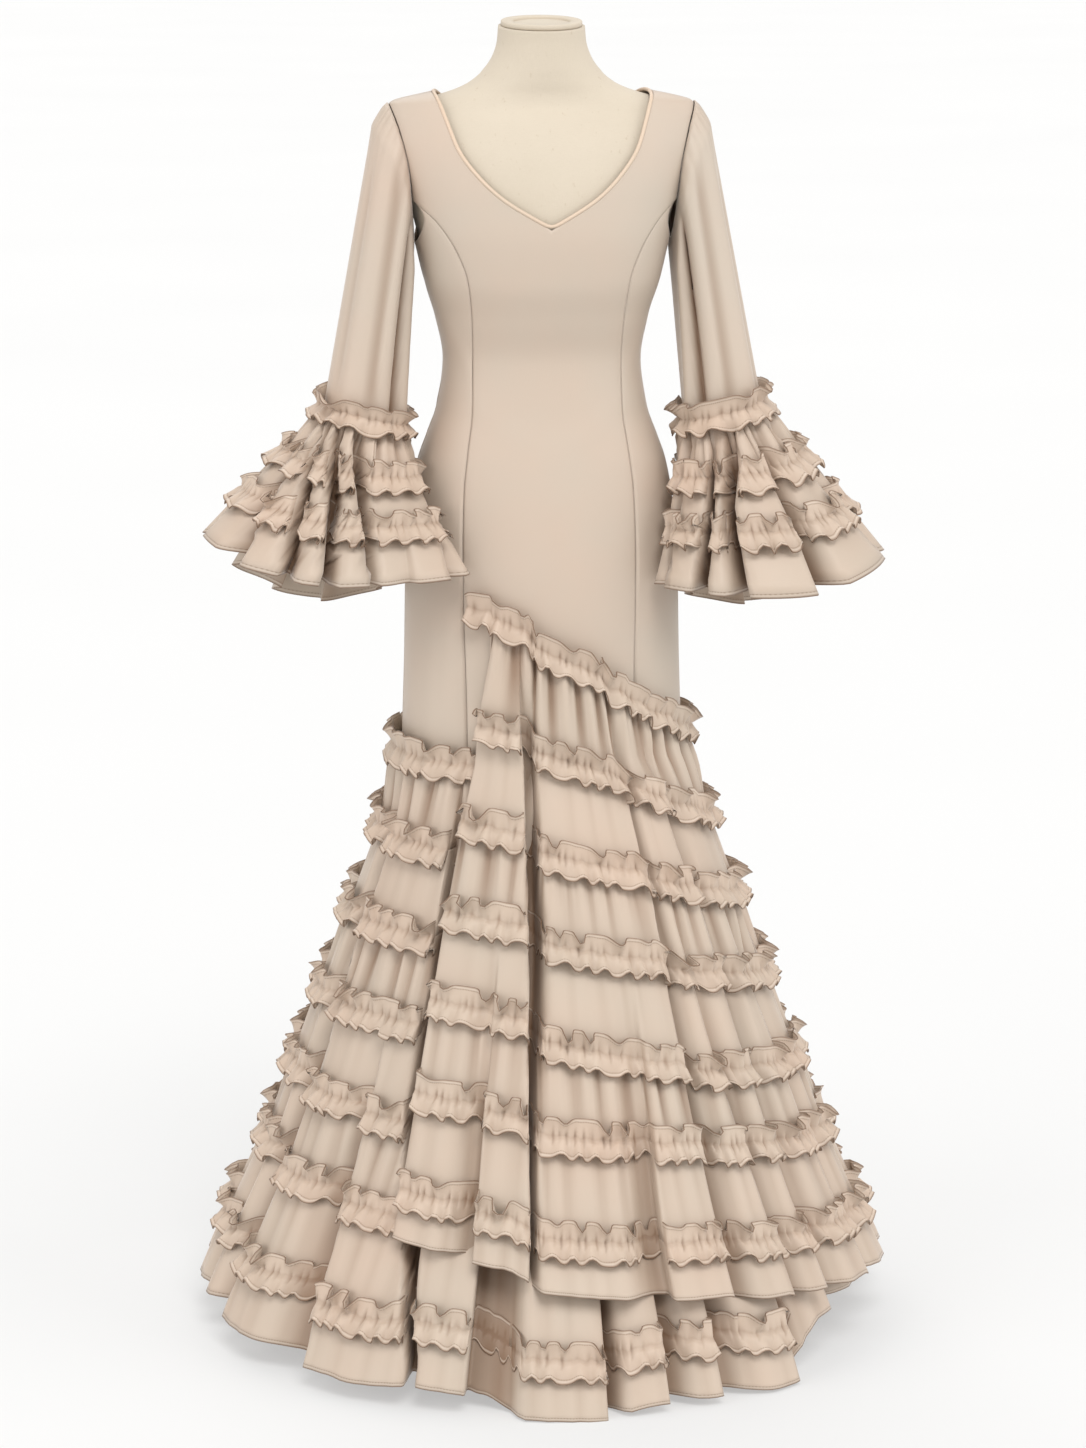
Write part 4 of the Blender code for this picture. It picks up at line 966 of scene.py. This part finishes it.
def folded(folds, turn, drop, full, turnback, length):
    """Depth of the folds, how far their cloth shifts round, and how near a turned-back side is.

    A fold has its full depth a drop of full below where it begins.  turnback is the width of its
    turned-back side in degrees, and length the drop at the hem.
    """
    depth, shift, squeeze = np.zeros_like(turn), np.zeros_like(turn), np.zeros_like(turn)
    share = 2.0 * between(drop / length, *FOLD_TRACK)
    low = eased(between(drop / length, *FOOT_TRACK))
    troughs = [
        lerp(lerp(fold.top, fold.middle, np.minimum(share, 1.0)), fold.hem, np.maximum(share - 1.0, 0.0))
        for fold in folds]
    for index, fold in enumerate(folds):
        trough = troughs[index]
        beyond, short = trough + END_SPACING * fold.laps, trough - END_SPACING * fold.laps
        if 0 <= index + fold.laps < len(folds):
            beyond = troughs[index + fold.laps]
        if 0 <= index - fold.laps < len(folds):
            short = troughs[index - fold.laps]
        strength = fold.depth * eased(between(drop, fold.begins, fold.begins + full))
        strength += 0.25 * fold.depth * between(drop, fold.begins, fold.begins + 0.2 * full)
        away = (turn - trough) * fold.laps
        open_side = np.maximum(1.5, np.abs(beyond - trough) * fold.opens)
        crest_side = np.abs(trough - short)
        turned_back = between(away, -turnback, 0.0)
        gap = lerp(fold.gap, fold.gap if fold.foot is None else fold.foot, low)
        opened = between(away, gap, gap + open_side)
        depth += strength * np.where(away > 0, 1.0 - eased(opened), eased(turned_back))
        crest = eased(1.0 - between(-away, turnback, turnback + crest_side * CREST_REACH))
        side = np.where(away < 0, 1.0 - 1.4 * eased(turned_back), -0.4 * (1.0 - eased(opened)))
        shift += fold.laps * strength * np.where(away < -turnback, crest, side)
        inside = between(away, -turnback, -0.4 * turnback) * (1.0 - between(away, gap + 0.5, gap + 2.5))
        squeeze = np.maximum(squeeze, np.minimum(1.0, strength) * eased(inside))
    return depth, shift, squeeze


def uneven(distance, width, seed):
    """A phase that goes a full turn in each width of cloth, more or less."""
    turns = 2.0 * math.pi * distance / width
    return turns + 1.1 * np.sin(turns / 2.9 + seed) + 0.9 * np.sin(turns / 5.3 + 2.1 * seed)


def swell(distance, width, seed):
    """A slow change of strength along the cloth, between about 0.5 and 1.4."""
    slow = 0.28 * np.sin(distance / width + seed)
    return 0.95 + slow + 0.2 * np.sin(distance / (0.43 * width) + 2.7 * seed)


def skirt_place(turn, height, proud=0.0):
    """The skirt's outer side at a turn and a height, or a place that stands proud of it; and how
    deep inside a fold it is."""
    drop = level_height(0, turn) - height
    radius = section_radius(turn, height)
    radius += WRAP_LAP * (1.0 - between(turn, *LAP_FADE))
    radius += WRAP_LIFT * between(drop, 0.0, WRAP_LIFT_DROP) * (1.0 - between(turn, *LIFT_FADE))
    over_hem = level_height(TIERS, turn - 360.0)
    hidden = between(turn, *HIDDEN_FROM) * between(height - over_hem, 0.0, 0.05)
    tuck = UNDER_TUCK + RECESS_TUCK * np.exp(-((turn - RECESS_TURN) / RECESS_SPREAD) ** 2)
    radius -= tuck * hidden * between(drop, 0.05, 0.16) + TAIL_TUCK * between(turn, *TAIL_TURNS)
    depth, shift, squeeze = folded(FOLDS, turn, drop, FOLD_RAMP, FOLD_TURNBACK, SKIRT_TOP)
    swing = EDGE_SWING * between(drop, 0.02, 0.15) * (1.0 - 0.5 * between(drop, 0.25, 0.65))
    swing *= 1.0 - between(turn, WRAP_START, WRAP_START + EDGE_RUN)
    radius += proud * (1.0 - 0.8 * squeeze) - depth * FOLD_DEPTH
    bearing = np.radians(turn - swing) + shift * FOLD_OVERHANG / radius
    points = np.stack([radius * np.sin(bearing), -radius * np.cos(bearing), height], axis=-1)
    return points, depth


def turn_marks(folds, start, end, spacing):
    """Turns of a strip's columns, closer together where folds turn back."""
    marks = [start]
    while marks[-1] < end:
        here = marks[-1]
        away = min(abs(here - fold.hem) for fold in folds)
        near_fold = 1.0 - float(between(away, 1.2 * FOLD_TURNBACK, 2.2 * FOLD_TURNBACK))
        marks.append(here + lerp(spacing, FOLD_TURNBACK / 4.0, near_fold))
    marks[-1] = end
    return np.array(marks)


def gathered(level, below, distance):
    """Relief of the gathers and small pleats that hang from a seam."""
    fine = np.cos(uneven(distance, GATHER_WIDTH, level + 1.0)) * GATHER_DEPTH
    fine *= np.exp(-below / GATHER_FADE)
    pleats = np.cos(uneven(distance, PLEAT_WIDTH, level * 1.7 + 0.4)) * PLEAT_DEPTH
    pleats *= swell(distance, 0.11, level)
    pleats *= np.exp(-((below - 0.02) / PLEAT_FADE) ** 2)
    return GATHERS[level] * (fine + pleats) * (0.3 + 0.7 * between(below, 0.0, 0.02))


def build_tier(level, label, start, end):
    marks = turn_marks(FOLDS, start, end, TIER_SPACING[label])
    columns, rows = len(marks) - 1, len(TIER_ROWS) - 1
    upper, lower = level_height(level, marks), level_height(level + 1, marks)
    middle = (upper + lower) / 2
    distance_at = run_along(skirt_place(marks, middle)[0])
    length, width = distance_at[-1], float(np.mean(upper - lower)) * CUT_EASE

    def place(across, up):
        index = np.round(across * columns).astype(int)
        turn, distance = marks[index], distance_at[index]
        top = level_height(level, turn) - SEAM_GAP / 2
        foot = level_height(level + 1, turn) + SEAM_GAP / 2
        height = lerp(foot, top, up)
        relief = gathered(level, top - height, distance)
        points, depth = skirt_place(turn, height, relief)
        # Painted shade deep inside the folds and in the gathers' valleys.
        painted_shade = eased(between(depth, 0.25, 1.1)) + between(-relief, 0.0, 0.0045)
        return points, PAINTED_SHADE_SHARE * painted_shade

    tier = grid_piece(
        "tier_%d_%s_cloth" % (level + 1, label), columns, rows, place, (length, width),
        marks=TIER_ROWS)
    give_wall(tier, CLOTH)
    cloth = hem_crepe if level == TIERS - 1 else tier_crepe
    finish_piece(tier, cloth, ["skirt_tier_%d_%s" % (level + 1, label)])


SKIRT_COLOUR = (0.490, 0.395, 0.317, 1.0)
# Both finishes paint shade deep in the folds and gathers; the hem's also paints a shadow along its rolled
# edge and a highlight on its roll.
tier_crepe = cloth_finish("tier_crepe", SKIRT_COLOUR, painted_shade=0.8)
hem_crepe = cloth_finish("hem_crepe", SKIRT_COLOUR, edges=[(1, 0.0)], painted_shade=0.8)
for level in range(TIERS):
    build_tier(level, "over", WRAP_START, WRAP_BACK)
    build_tier(level, "under", WRAP_BACK, WRAP_END)
# ---------------------------------------------------------------- the skirt's ruffles
# Each seam of the skirt is covered by a strip of crepe, gathered and stitched down along its middle,
# so one frill stands up from the stitches and one hangs.  Both edges are narrowly rolled and sewn.
RUFFLE_HALF = 0.0220        # from the stitches to an edge
RUFFLE_THICKNESS = 0.0012
RUFFLE_FULLNESS = 1.35      # length of the strip for each metre of seam
RUFFLE_STAND = 0.0036       # its stitches lie this far off the cloth below
RUFFLE_SPACING = {"over": 0.0025, "under": 0.0028}
RUFFLE_ROWS = [0.0, 0.03, 0.07, 0.16, 0.27, 0.38, 0.46, 0.54, 0.61, 0.70, 0.81, 0.92, 0.97, 1.0]
RUFFLE_ENDS = {"over": 180.0, "under": 334.0}
HIDDEN_ENDS = (324.0, 330.0)            # turns over which the under length's frills lie flat, hidden
HEM_RUFFLE_END = 402.0
TOP_OVERRUN, OVERRUN_RISE = 11.0, 0.0004    # degrees the topmost strip runs on past the free edge, and
                                            # how far its stitches rise in each of them
TOP_STAND = 0.75            # share of the usual stand of the topmost ruffle
UPPER_WAVE, UPPER_LEAN, UPPER_DEPTH, UPPER_CURL = 0.034, 0.0055, 0.0120, 0.0040
LOWER_WAVE, LOWER_LEAN, LOWER_DEPTH, LOWER_CURL = 0.023, 0.0080, 0.0100, 0.0028
LOWER_RISE = 0.0062         # how far the hanging edge rises where it stands out
UPPER_PINCH, LOWER_PINCH = 1.9, 0.9     # how narrow the folds are that stand out from each frill
PUCKER_WIDTH, PUCKER_DEPTH = 0.0096, 0.0022
PUCKER_MIDDLE, UPPER_PUCKER, LOWER_PUCKER = 0.15, 0.27, 0.20    # where they lie and how far they spread,
                                                                # as shares of a frill's width
FRILL_LEAN, FRILL_NEAREST = 0.93, 0.0006        # how far over a frill may lean, and how near it may lie
FOLD_SETTLE = 0.65          # share of its stand that a frill loses deep inside a fold
ROLL_HEIGHT = 0.0010        # how thick its rolled edges are


def frilled(distance, across, seed, half=RUFFLE_HALF):
    """A gathered double frill: how far its cloth lies along, up from and out of its line of stitches,
    and how much shade is painted on it there.

    across runs from -1 at the hanging edge to 1 at the standing edge.
    """
    width = np.abs(across)
    standing = across > 0
    upper = uneven(distance, UPPER_WAVE, seed) + 0.8 * np.sin(distance / 0.021 + 3.0 * seed)
    lower = uneven(distance, LOWER_WAVE, 1.9 * seed + 0.7)
    size = swell(distance, 0.034, 2.3 * seed)
    upper_fold = np.exp(UPPER_PINCH * (np.cos(upper) - 1.0))
    lower_fold = np.exp(LOWER_PINCH * (np.cos(lower) - 1.0))
    upper_out = UPPER_LEAN * width ** 0.8 + UPPER_DEPTH * size * upper_fold * width ** 1.2
    lower_swell = swell(distance, 0.05, seed)
    lower_out = LOWER_LEAN * width ** 0.6 + LOWER_DEPTH * lower_swell * (lower_fold - 0.4) * width
    out = np.maximum(np.where(standing, upper_out, lower_out), FRILL_NEAREST)
    upper_curl = UPPER_CURL * size * np.sin(upper) * upper_fold
    lower_curl = LOWER_CURL * np.sin(lower) * lower_fold
    curl = np.where(standing, upper_curl, lower_curl)
    along = curl * width ** 1.3
    tall = half * np.where(standing, 0.88 + 0.18 * swell(distance, 0.045, 3.1 * seed), 0.98)
    lean = np.minimum(FRILL_LEAN, out / (tall * np.maximum(width, 0.1)))
    up = across * tall * np.sqrt(1.0 - lean ** 2)
    pucker_spread = np.where(standing, UPPER_PUCKER, LOWER_PUCKER)
    near_stitches = np.exp(-((width - PUCKER_MIDDLE) / pucker_spread) ** 2)
    pucker = 1.0 - 1.7 * np.exp(1.8 * (np.cos(uneven(distance, PUCKER_WIDTH, 0.6 * seed)) - 1.0))
    up += 0.0012 * np.sin(uneven(distance, 0.017, seed)) * (1.0 - width)
    up += np.where(standing, 0.0, LOWER_RISE * (lower_fold - 0.4) * width ** 2)
    # Painted shade by the stitches, in the puckers' valleys and between the frills' folds.
    painted_shade = 0.30 * np.exp(-(width / 0.12) ** 2) + 0.46 * near_stitches * between(-pucker, 0.0, 0.7)
    upper_painted_shade = 0.16 * (1.0 - upper_fold) * (1.0 - width)
    painted_shade += np.where(standing, upper_painted_shade, 0.34 * (1.0 - lower_fold) * width)
    roll = ROLL_HEIGHT * eased(between(width, 0.88, 0.95))
    return along, up, out + roll + PUCKER_DEPTH * pucker * near_stitches, painted_shade


def settled(depth):
    """Share of its stand that a frill keeps inside a fold."""
    return 1.0 - FOLD_SETTLE * eased(between(depth, 0.2, 0.8))


def painted_fold_shade(depth):
    """How much shade is painted on a frill for the depth of the fold it lies in."""
    return 0.8 * eased(between(depth, 0.2, 1.0))


def along_seam(marks, points, spacing):
    """Evenly spaced places along a seam: their turns and their distances."""
    distance = run_along(points)
    columns = int(round(distance[-1] / spacing))
    places = np.linspace(0.0, distance[-1], columns + 1)
    return np.interp(places, distance, marks), places


def add_ruffle(name, node, columns, place, length, half=RUFFLE_HALF, turned_over=False):
    """A ruffle's piece, with its wall, its finish and its strip's size in the flat."""
    strip = length * RUFFLE_FULLNESS
    ruffle = grid_piece(
        name, columns, len(RUFFLE_ROWS) - 1, place, (strip, 2 * RUFFLE_HALF),
        turned_over=turned_over, marks=RUFFLE_ROWS)
    give_wall(ruffle, RUFFLE_THICKNESS)
    finish_piece(ruffle, ruffle_crepe, [node])


def overrun_rise(turn):
    """How much higher a strip is sewn past the skirt's free edge."""
    return OVERRUN_RISE * np.maximum(0.0, WRAP_START - turn)


def build_skirt_ruffle(level, label, start, end):
    seed = 1.3 + 2.17 * level + (5.3 if label == "under" else 0.0)
    marks = np.arange(start, end + 0.05, 0.1)
    seam = skirt_place(marks, level_height(level, marks) + overrun_rise(marks))[0]
    turns, distance_at = along_seam(marks, seam, RUFFLE_SPACING[label])
    columns, length = len(turns) - 1, distance_at[-1]

    def place(across, up):
        column = np.round(across * columns).astype(int)
        along, rise, out, painted_shade = frilled(distance_at[column], 2.0 * up - 1.0, seed)
        turn = turns[column]
        height = level_height(level, turn) + overrun_rise(turn)
        radius = section_radius(turn, height)
        keep = settled(skirt_place(turn, height)[1])
        turn = turn + np.degrees(along * keep / radius)
        out *= 1.0 - 0.9 * eased(between(turn, *HIDDEN_ENDS)) * (level < TIERS - 1)
        out *= keep
        out *= TOP_STAND if level == 0 else 1.0
        height = level_height(level, turn) + overrun_rise(turn) + rise
        points, depth = skirt_place(turn, height, RUFFLE_STAND + out)
        # Painted shade of the frill, with more where it lies deep in a fold of the skirt.
        return points, painted_shade + painted_fold_shade(depth)

    tier = "%d_%s" % (level + 1, label)
    add_ruffle(
        "ruffle_%s_cloth" % tier, "skirt_ruffle_" + tier, columns, place, length)


RUFFLE_COLOUR = (0.520, 0.412, 0.328, 1.0)     # the frills are paler, for more light gets through them
# It paints shade into the frills' hollows, and a painted shadow and highlight at both rolled edges.
ruffle_crepe = cloth_finish(
    "ruffle_crepe", RUFFLE_COLOUR, edges=[(1, 0.0), (1, 2 * RUFFLE_HALF)], painted_shade=0.9)
for level in range(TIERS):
    start = WRAP_START - (TOP_OVERRUN if level == 0 else 0.0)
    build_skirt_ruffle(level, "over", start, RUFFLE_ENDS["over"])
    under_end = HEM_RUFFLE_END if level == TIERS - 1 else RUFFLE_ENDS["under"]
    build_skirt_ruffle(level, "under", WRAP_BACK, under_end)


# ---------------------------------------------------------------- the bell cuffs
# A flared bell of crepe is gathered onto each sleeve's foot and falls in deep open flutes.  Three
# double ruffles like the skirt's go round it, and its hem is narrowly rolled.
CuffHem = namedtuple("CuffHem", "side outer front inner back")
CUFFS = {
    "right": CuffHem(-1, 0.955, 0.912, 0.914, 0.853),
    "left": CuffHem(1, 0.922, 0.891, 0.896, 0.840),
}
CUFF_HEM_X, CUFF_HEM_Y = 0.254, -0.050
CUFF_HEM_HALF_WIDTH, CUFF_HEM_HALF_DEPTH = 0.145, 0.138
CUFF_HIP_MARGIN = 0.018
CUFF_REACH = {"right": 0.020, "left": 0.0}      # how far the hem's inner front swings before the hip
REACH_TURN, REACH_SPREAD, REACH_FORWARD = 155.0, 26.0, 1.6
CUFF_LENGTH = 0.195
CUFF_FOLD_DEPTH, CUFF_FOLD_RAMP = 0.040, 0.70
CUFF_TURNBACK, CUFF_OVERHANG = 3.4, 0.010
CUFF_FOLDS = {              # turns from the outer side towards the front
    "right": [
        Fold(4.0, 4.0, 4.0, 0.45, 0.05, -1, 0.4),
        Fold(24.0, 36.0, 43.0, 0.80, 0.06, -1, 0.4, 3.5),
        Fold(38.0, 51.0, 61.0, 0.85, 0.06, 1, 0.4, 3.0),
        Fold(52.5, 70.0, 80.0, 1.20, 0.00, 1, 0.15, 9.5, 6.5),
        Fold(77.0, 91.0, 102.5, 1.20, 0.00, 1, 0.12, 11.5, 6.0),
        Fold(126.0, 126.0, 126.0, 0.25, 0.50, -1),
        Fold(146.0, 151.0, 145.5, 0.85, 0.02, 1, 0.4, 4.5),
        Fold(170.0, 170.0, 170.0, 0.50, 0.05, 1, 0.5),
        Fold(190.0, 189.0, 188.0, 0.60, 0.05, 1),
        Fold(214.0, 215.0, 216.0, 0.45, 0.02, 1, 0.6, 2.0),
        Fold(243.0, 241.0, 240.0, 0.35, 0.10, -1),
        Fold(268.0, 269.0, 270.0, 0.45, 0.02, -1, 0.6, 2.0),
        Fold(292.0, 294.0, 296.0, 0.50, 0.08, 1),
        Fold(318.0, 318.0, 318.0, 0.85, 0.02, 1, 0.4, 3.0),
        Fold(341.0, 340.0, 339.0, 0.60, 0.08, -1),
    ],
    "left": [
        Fold(38.0, 28.0, 16.0, 0.70, 0.02, -1, 0.4, 2.0),
        Fold(69.0, 74.0, 73.0, 1.10, 0.02, -1, 0.25, 6.0),
        Fold(85.0, 99.0, 100.0, 1.20, 0.00, 1, 0.15, 13.0, 9.5),
        Fold(118.0, 127.0, 134.0, 0.85, 0.02, -1, 0.3, 3.0),
        Fold(144.0, 144.0, 149.0, 0.70, 0.03, 1, 0.4, 2.0),
        Fold(170.0, 170.0, 170.0, 0.45, 0.05, 1),
        Fold(188.0, 189.0, 190.0, 0.50, 0.05, 1),
        Fold(212.0, 213.0, 214.0, 0.45, 0.02, 1, 0.6, 2.0),
        Fold(240.0, 239.0, 238.0, 0.35, 0.10, -1),
        Fold(266.0, 267.0, 268.0, 0.45, 0.02, -1, 0.6, 2.0),
        Fold(290.0, 291.0, 292.0, 0.55, 0.08, 1),
        Fold(316.0, 316.0, 316.0, 0.95, 0.02, 1, 0.4, 3.0),
        Fold(340.0, 340.0, 340.0, 0.60, 0.08, -1),
    ],
}
CUFF_GATHER_DEPTH, CUFF_GATHER_FADE = 0.0034, 0.22
CUFF_PLEATS, CUFF_WIDE_PLEATS = 46, 27          # round the seam, small ones and wider ones
CuffBand = namedtuple("CuffBand", "name down half")
CUFF_BANDS = [              # the share of the way down the cuff, and half the strip's width
    CuffBand("upper", -0.018, 0.021), CuffBand("middle", 0.33, 0.022), CuffBand("lower", 0.64, 0.022),
]
CUFF_RUFFLE_SPACING = 0.0024
JOIN_RUN, JOIN_STAND = 0.012, 0.006     # a ruffle lies flatter this near the join of its two ends
BELL_SPACING = 2.2          # degrees between the bell's columns
BELL_ROUND = 1.2            # metres of the finish's grid round it
CUFF_ROWS = [0.0, 0.08, 0.20, 0.32, 0.42, 0.50, 0.58, 0.66, 0.74, 0.82, 0.89, 0.95, 0.985, 1.0]


def cuff_place(hand, turn, down, proud=0.0):
    """The bell cuff's outer side, a share of the way down it, or a place that stands proud of it; and
    how deep inside a fold it is."""
    hem = CUFFS[hand]
    angle = np.radians(turn)
    cosine, sine = np.cos(angle), np.sin(angle)
    hem_height = cosine ** 2 * np.where(cosine > 0, hem.outer, hem.inner)
    hem_height += sine ** 2 * np.where(sine > 0, hem.front, hem.back)
    seam_height = CUFF_SEAM_HEIGHT + CUFF_SEAM_TILT * cosine - SEAM_GAP
    below = np.maximum(down, 0.0)
    folds = CUFF_FOLDS[hand]
    ring = [
        fold._replace(top=fold.top + lap, middle=fold.middle + lap, hem=fold.hem + lap)
        for lap in (-360, 0, 360) for fold in folds]
    depth, shift, squeeze = folded(ring, turn % 360.0, below, CUFF_FOLD_RAMP, CUFF_TURNBACK, 1.0)
    inward = proud * (1.0 - 0.8 * squeeze) - depth * CUFF_FOLD_DEPTH
    half_width = lerp(CUFF_SEAM_HALF_WIDTH, CUFF_HEM_HALF_WIDTH, below) + inward
    half_depth = lerp(CUFF_SEAM_HALF_DEPTH, CUFF_HEM_HALF_DEPTH, below) + inward
    bearing = angle + shift * CUFF_OVERHANG / half_width
    x = lerp(CUFF_SEAM_X, CUFF_HEM_X, below) + half_width * np.cos(bearing)
    y = lerp(CUFF_SEAM_Y, CUFF_HEM_Y, below) - half_depth * np.sin(bearing)
    z = lerp(seam_height, hem_height, down)
    from_reach = (np.asarray(turn) % 360.0 - REACH_TURN) / REACH_SPREAD
    reach = CUFF_REACH[hand] * below ** 2 * np.exp(-from_reach ** 2)
    x, y = x - reach, y - REACH_FORWARD * reach
    hip_width = read(BODY, z, "half_width") + CUFF_HIP_MARGIN
    hip_reach = np.where(y < 0, read(BODY, z, "front"), read(BODY, z, "back")) + CUFF_HIP_MARGIN
    size = (np.abs(x / hip_width) ** ROUNDNESS + np.abs(y / hip_reach) ** ROUNDNESS) ** (1 / ROUNDNESS)
    clear = np.where(below > 0, np.maximum(1.0, 1.0 / np.maximum(size, 0.3)), 1.0)
    return np.stack([hem.side * x * clear, y * clear, z], axis=-1), depth


def build_bell(hand):
    marks = turn_marks(CUFF_FOLDS[hand], 0.0, 360.0, BELL_SPACING)
    columns = len(marks) - 1
    middle = cuff_place(hand, marks, np.full_like(marks, 0.5))[0]
    distance_at = run_along(middle)

    def place(across, up):
        column = np.round(across * columns).astype(int)
        down = 1.0 - up
        distance = distance_at[column] / distance_at[-1]
        pleats = np.cos(2 * math.pi * CUFF_PLEATS * distance + 1.5 * np.sin(2 * math.pi * 5 * distance))
        wider = 1.2 * np.sin(2 * math.pi * 7 * distance + 1.0)
        folds = np.cos(2 * math.pi * CUFF_WIDE_PLEATS * distance + wider)
        relief = CUFF_GATHER_DEPTH * pleats * np.exp(-down / CUFF_GATHER_FADE)
        relief += 0.9 * CUFF_GATHER_DEPTH * folds * np.exp(-((down - 0.15) / 0.25) ** 2)
        relief *= 0.3 + 0.7 * between(down, 0.0, 0.08)
        points, depth = cuff_place(hand, marks[column], down, relief)
        # Painted shade deep in the flutes and in the pleats' valleys.
        return points, 0.9 * eased(between(depth, 0.15, 1.0)) + between(-relief, 0.0, 0.005) * 0.5

    bell = grid_piece(
        "bell_cloth_" + hand, columns, len(CUFF_ROWS) - 1, place, (BELL_ROUND, CUFF_LENGTH),
        closed=True, marks=CUFF_ROWS, turned_over=CUFFS[hand].side < 0)
    give_wall(bell, CLOTH)
    finish_piece(bell, bell_crepe, ["cuff_flounce_" + hand])


def build_cuff_ruffle(hand, band, seed):
    marks = np.arange(0.0, 360.01, 0.25)
    seam = cuff_place(hand, marks, np.full_like(marks, band.down))[0]
    turns, distance_at = along_seam(marks, seam, CUFF_RUFFLE_SPACING)
    columns, length = len(turns) - 1, distance_at[-1]

    def place(across, up):
        column = np.round(across * columns).astype(int)
        along, rise, out, painted_shade = frilled(distance_at[column], 2.0 * up - 1.0, seed, band.half)
        blend_out = eased(between(distance_at[column], 0.0, JOIN_RUN)) * (
            1.0 - eased(between(distance_at[column], length - JOIN_RUN, length)))
        turn = turns[column]
        keep = settled(cuff_place(hand, turn, np.full_like(turn, band.down))[1])
        out = lerp(JOIN_STAND, out, 0.25 + 0.75 * blend_out) * keep
        turn = turn + np.degrees(along * blend_out * keep / lerp(0.05, 0.14, band.down))
        points, depth = cuff_place(hand, turn, band.down - rise / CUFF_LENGTH, RUFFLE_STAND + out)
        # Painted shade of the frill, with more where it lies deep in a flute of the cuff.
        return points, painted_shade + painted_fold_shade(depth)

    add_ruffle(
        "cuff_%s_ruffle_%s" % (band.name, hand), "cuff_ruffle_%s_%s" % (band.name, hand),
        columns, place, length, band.half, CUFFS[hand].side < 0)


# It paints shade deep in the flutes, and a painted shadow and highlight at the rolled hem.
bell_crepe = cloth_finish("bell_crepe", SKIRT_COLOUR, edges=[(1, 0.0)], painted_shade=0.95)
for hand in CUFFS:
    build_bell(hand)
    for number, band in enumerate(CUFF_BANDS):
        build_cuff_ruffle(hand, band, 0.9 + 1.7 * number + (2.9 if hand == "left" else 0.0))


# ---------------------------------------------------------------- the studio
# A plain pale floor that glows a little, as a lit studio floor does, under a soft lamp from the front
# and above, two low soft lamps at the sides and a weaker one behind.
FLOOR_SIZE = 60.0
FLOOR_COLOUR, FLOOR_SHADE = (0.41, 0.41, 0.406, 1.0), (0.39, 0.39, 0.387, 1.0)
FLOOR_GLOW = 0.425
WORLD_COLOUR, WORLD_STRENGTH = (1.0, 0.99, 0.98, 1.0), 0.56

Light = namedtuple("Light", "name bearing height softness strength")   # angles in degrees
LIGHTS = [
    Light("key", 7.0, 52.0, 30.0, 1.64),
    Light("left_fill", -60.0, 12.0, 60.0, 1.66),
    Light("right_fill", 68.0, 14.0, 60.0, 1.54),
    Light("back", 186.0, 48.0, 50.0, 0.80),
]


def build_floor():
    mesh = bmesh.new()
    bmesh.ops.create_grid(mesh, x_segments=2, y_segments=2, size=FLOOR_SIZE)
    data = bpy.data.meshes.new("studio_floor")
    mesh.to_mesh(data)
    mesh.free()
    floor = placed("studio_floor", data)
    paint = Finish("studio_floor")
    cloudy = paint.noise(paint.place(), 0.7, 1.0)
    paint.set(
        Base_Color=paint.blend(cloudy, FLOOR_COLOUR, FLOOR_SHADE), Roughness=1.0, Specular_IOR_Level=0.0,
        Emission_Color=(1.0, 1.0, 1.0, 1.0), Emission_Strength=FLOOR_GLOW)
    data.materials.append(paint.material)


def build_lights():
    for light in LIGHTS:
        data = bpy.data.lights.new(light.name, "SUN")
        data.angle, data.energy = math.radians(light.softness), light.strength
        lamp = placed(light.name, data)
        lamp.rotation_euler = (math.radians(90.0 - light.height), 0.0, math.radians(light.bearing))


def build_world():
    world = bpy.data.worlds.new("studio")
    bpy.context.scene.world = world
    world.use_nodes = True
    background = world.node_tree.nodes["Background"]
    background.inputs["Color"].default_value = WORLD_COLOUR
    background.inputs["Strength"].default_value = WORLD_STRENGTH


build_floor()
build_lights()
build_world()
bpy.context.scene.view_settings.view_transform = "Standard"


# ---------------------------------------------------------------- the camera
# A long lens a little above the shoulders and a little to the wearer's right.
CAMERA_PLACE = (-0.5523, -5.2712, 1.80)
CAMERA_PITCH, CAMERA_TURN = math.radians(90.0 - 11.6), math.radians(-6.0)
LENS, SENSOR = 113.4, 36.0

camera_data = bpy.data.cameras.new("camera")
camera_data.sensor_fit, camera_data.sensor_height, camera_data.lens = "VERTICAL", SENSOR, LENS
camera = placed("camera", camera_data)
camera.location = CAMERA_PLACE
camera.rotation_euler = (CAMERA_PITCH, 0.0, CAMERA_TURN)
bpy.context.scene.camera = camera
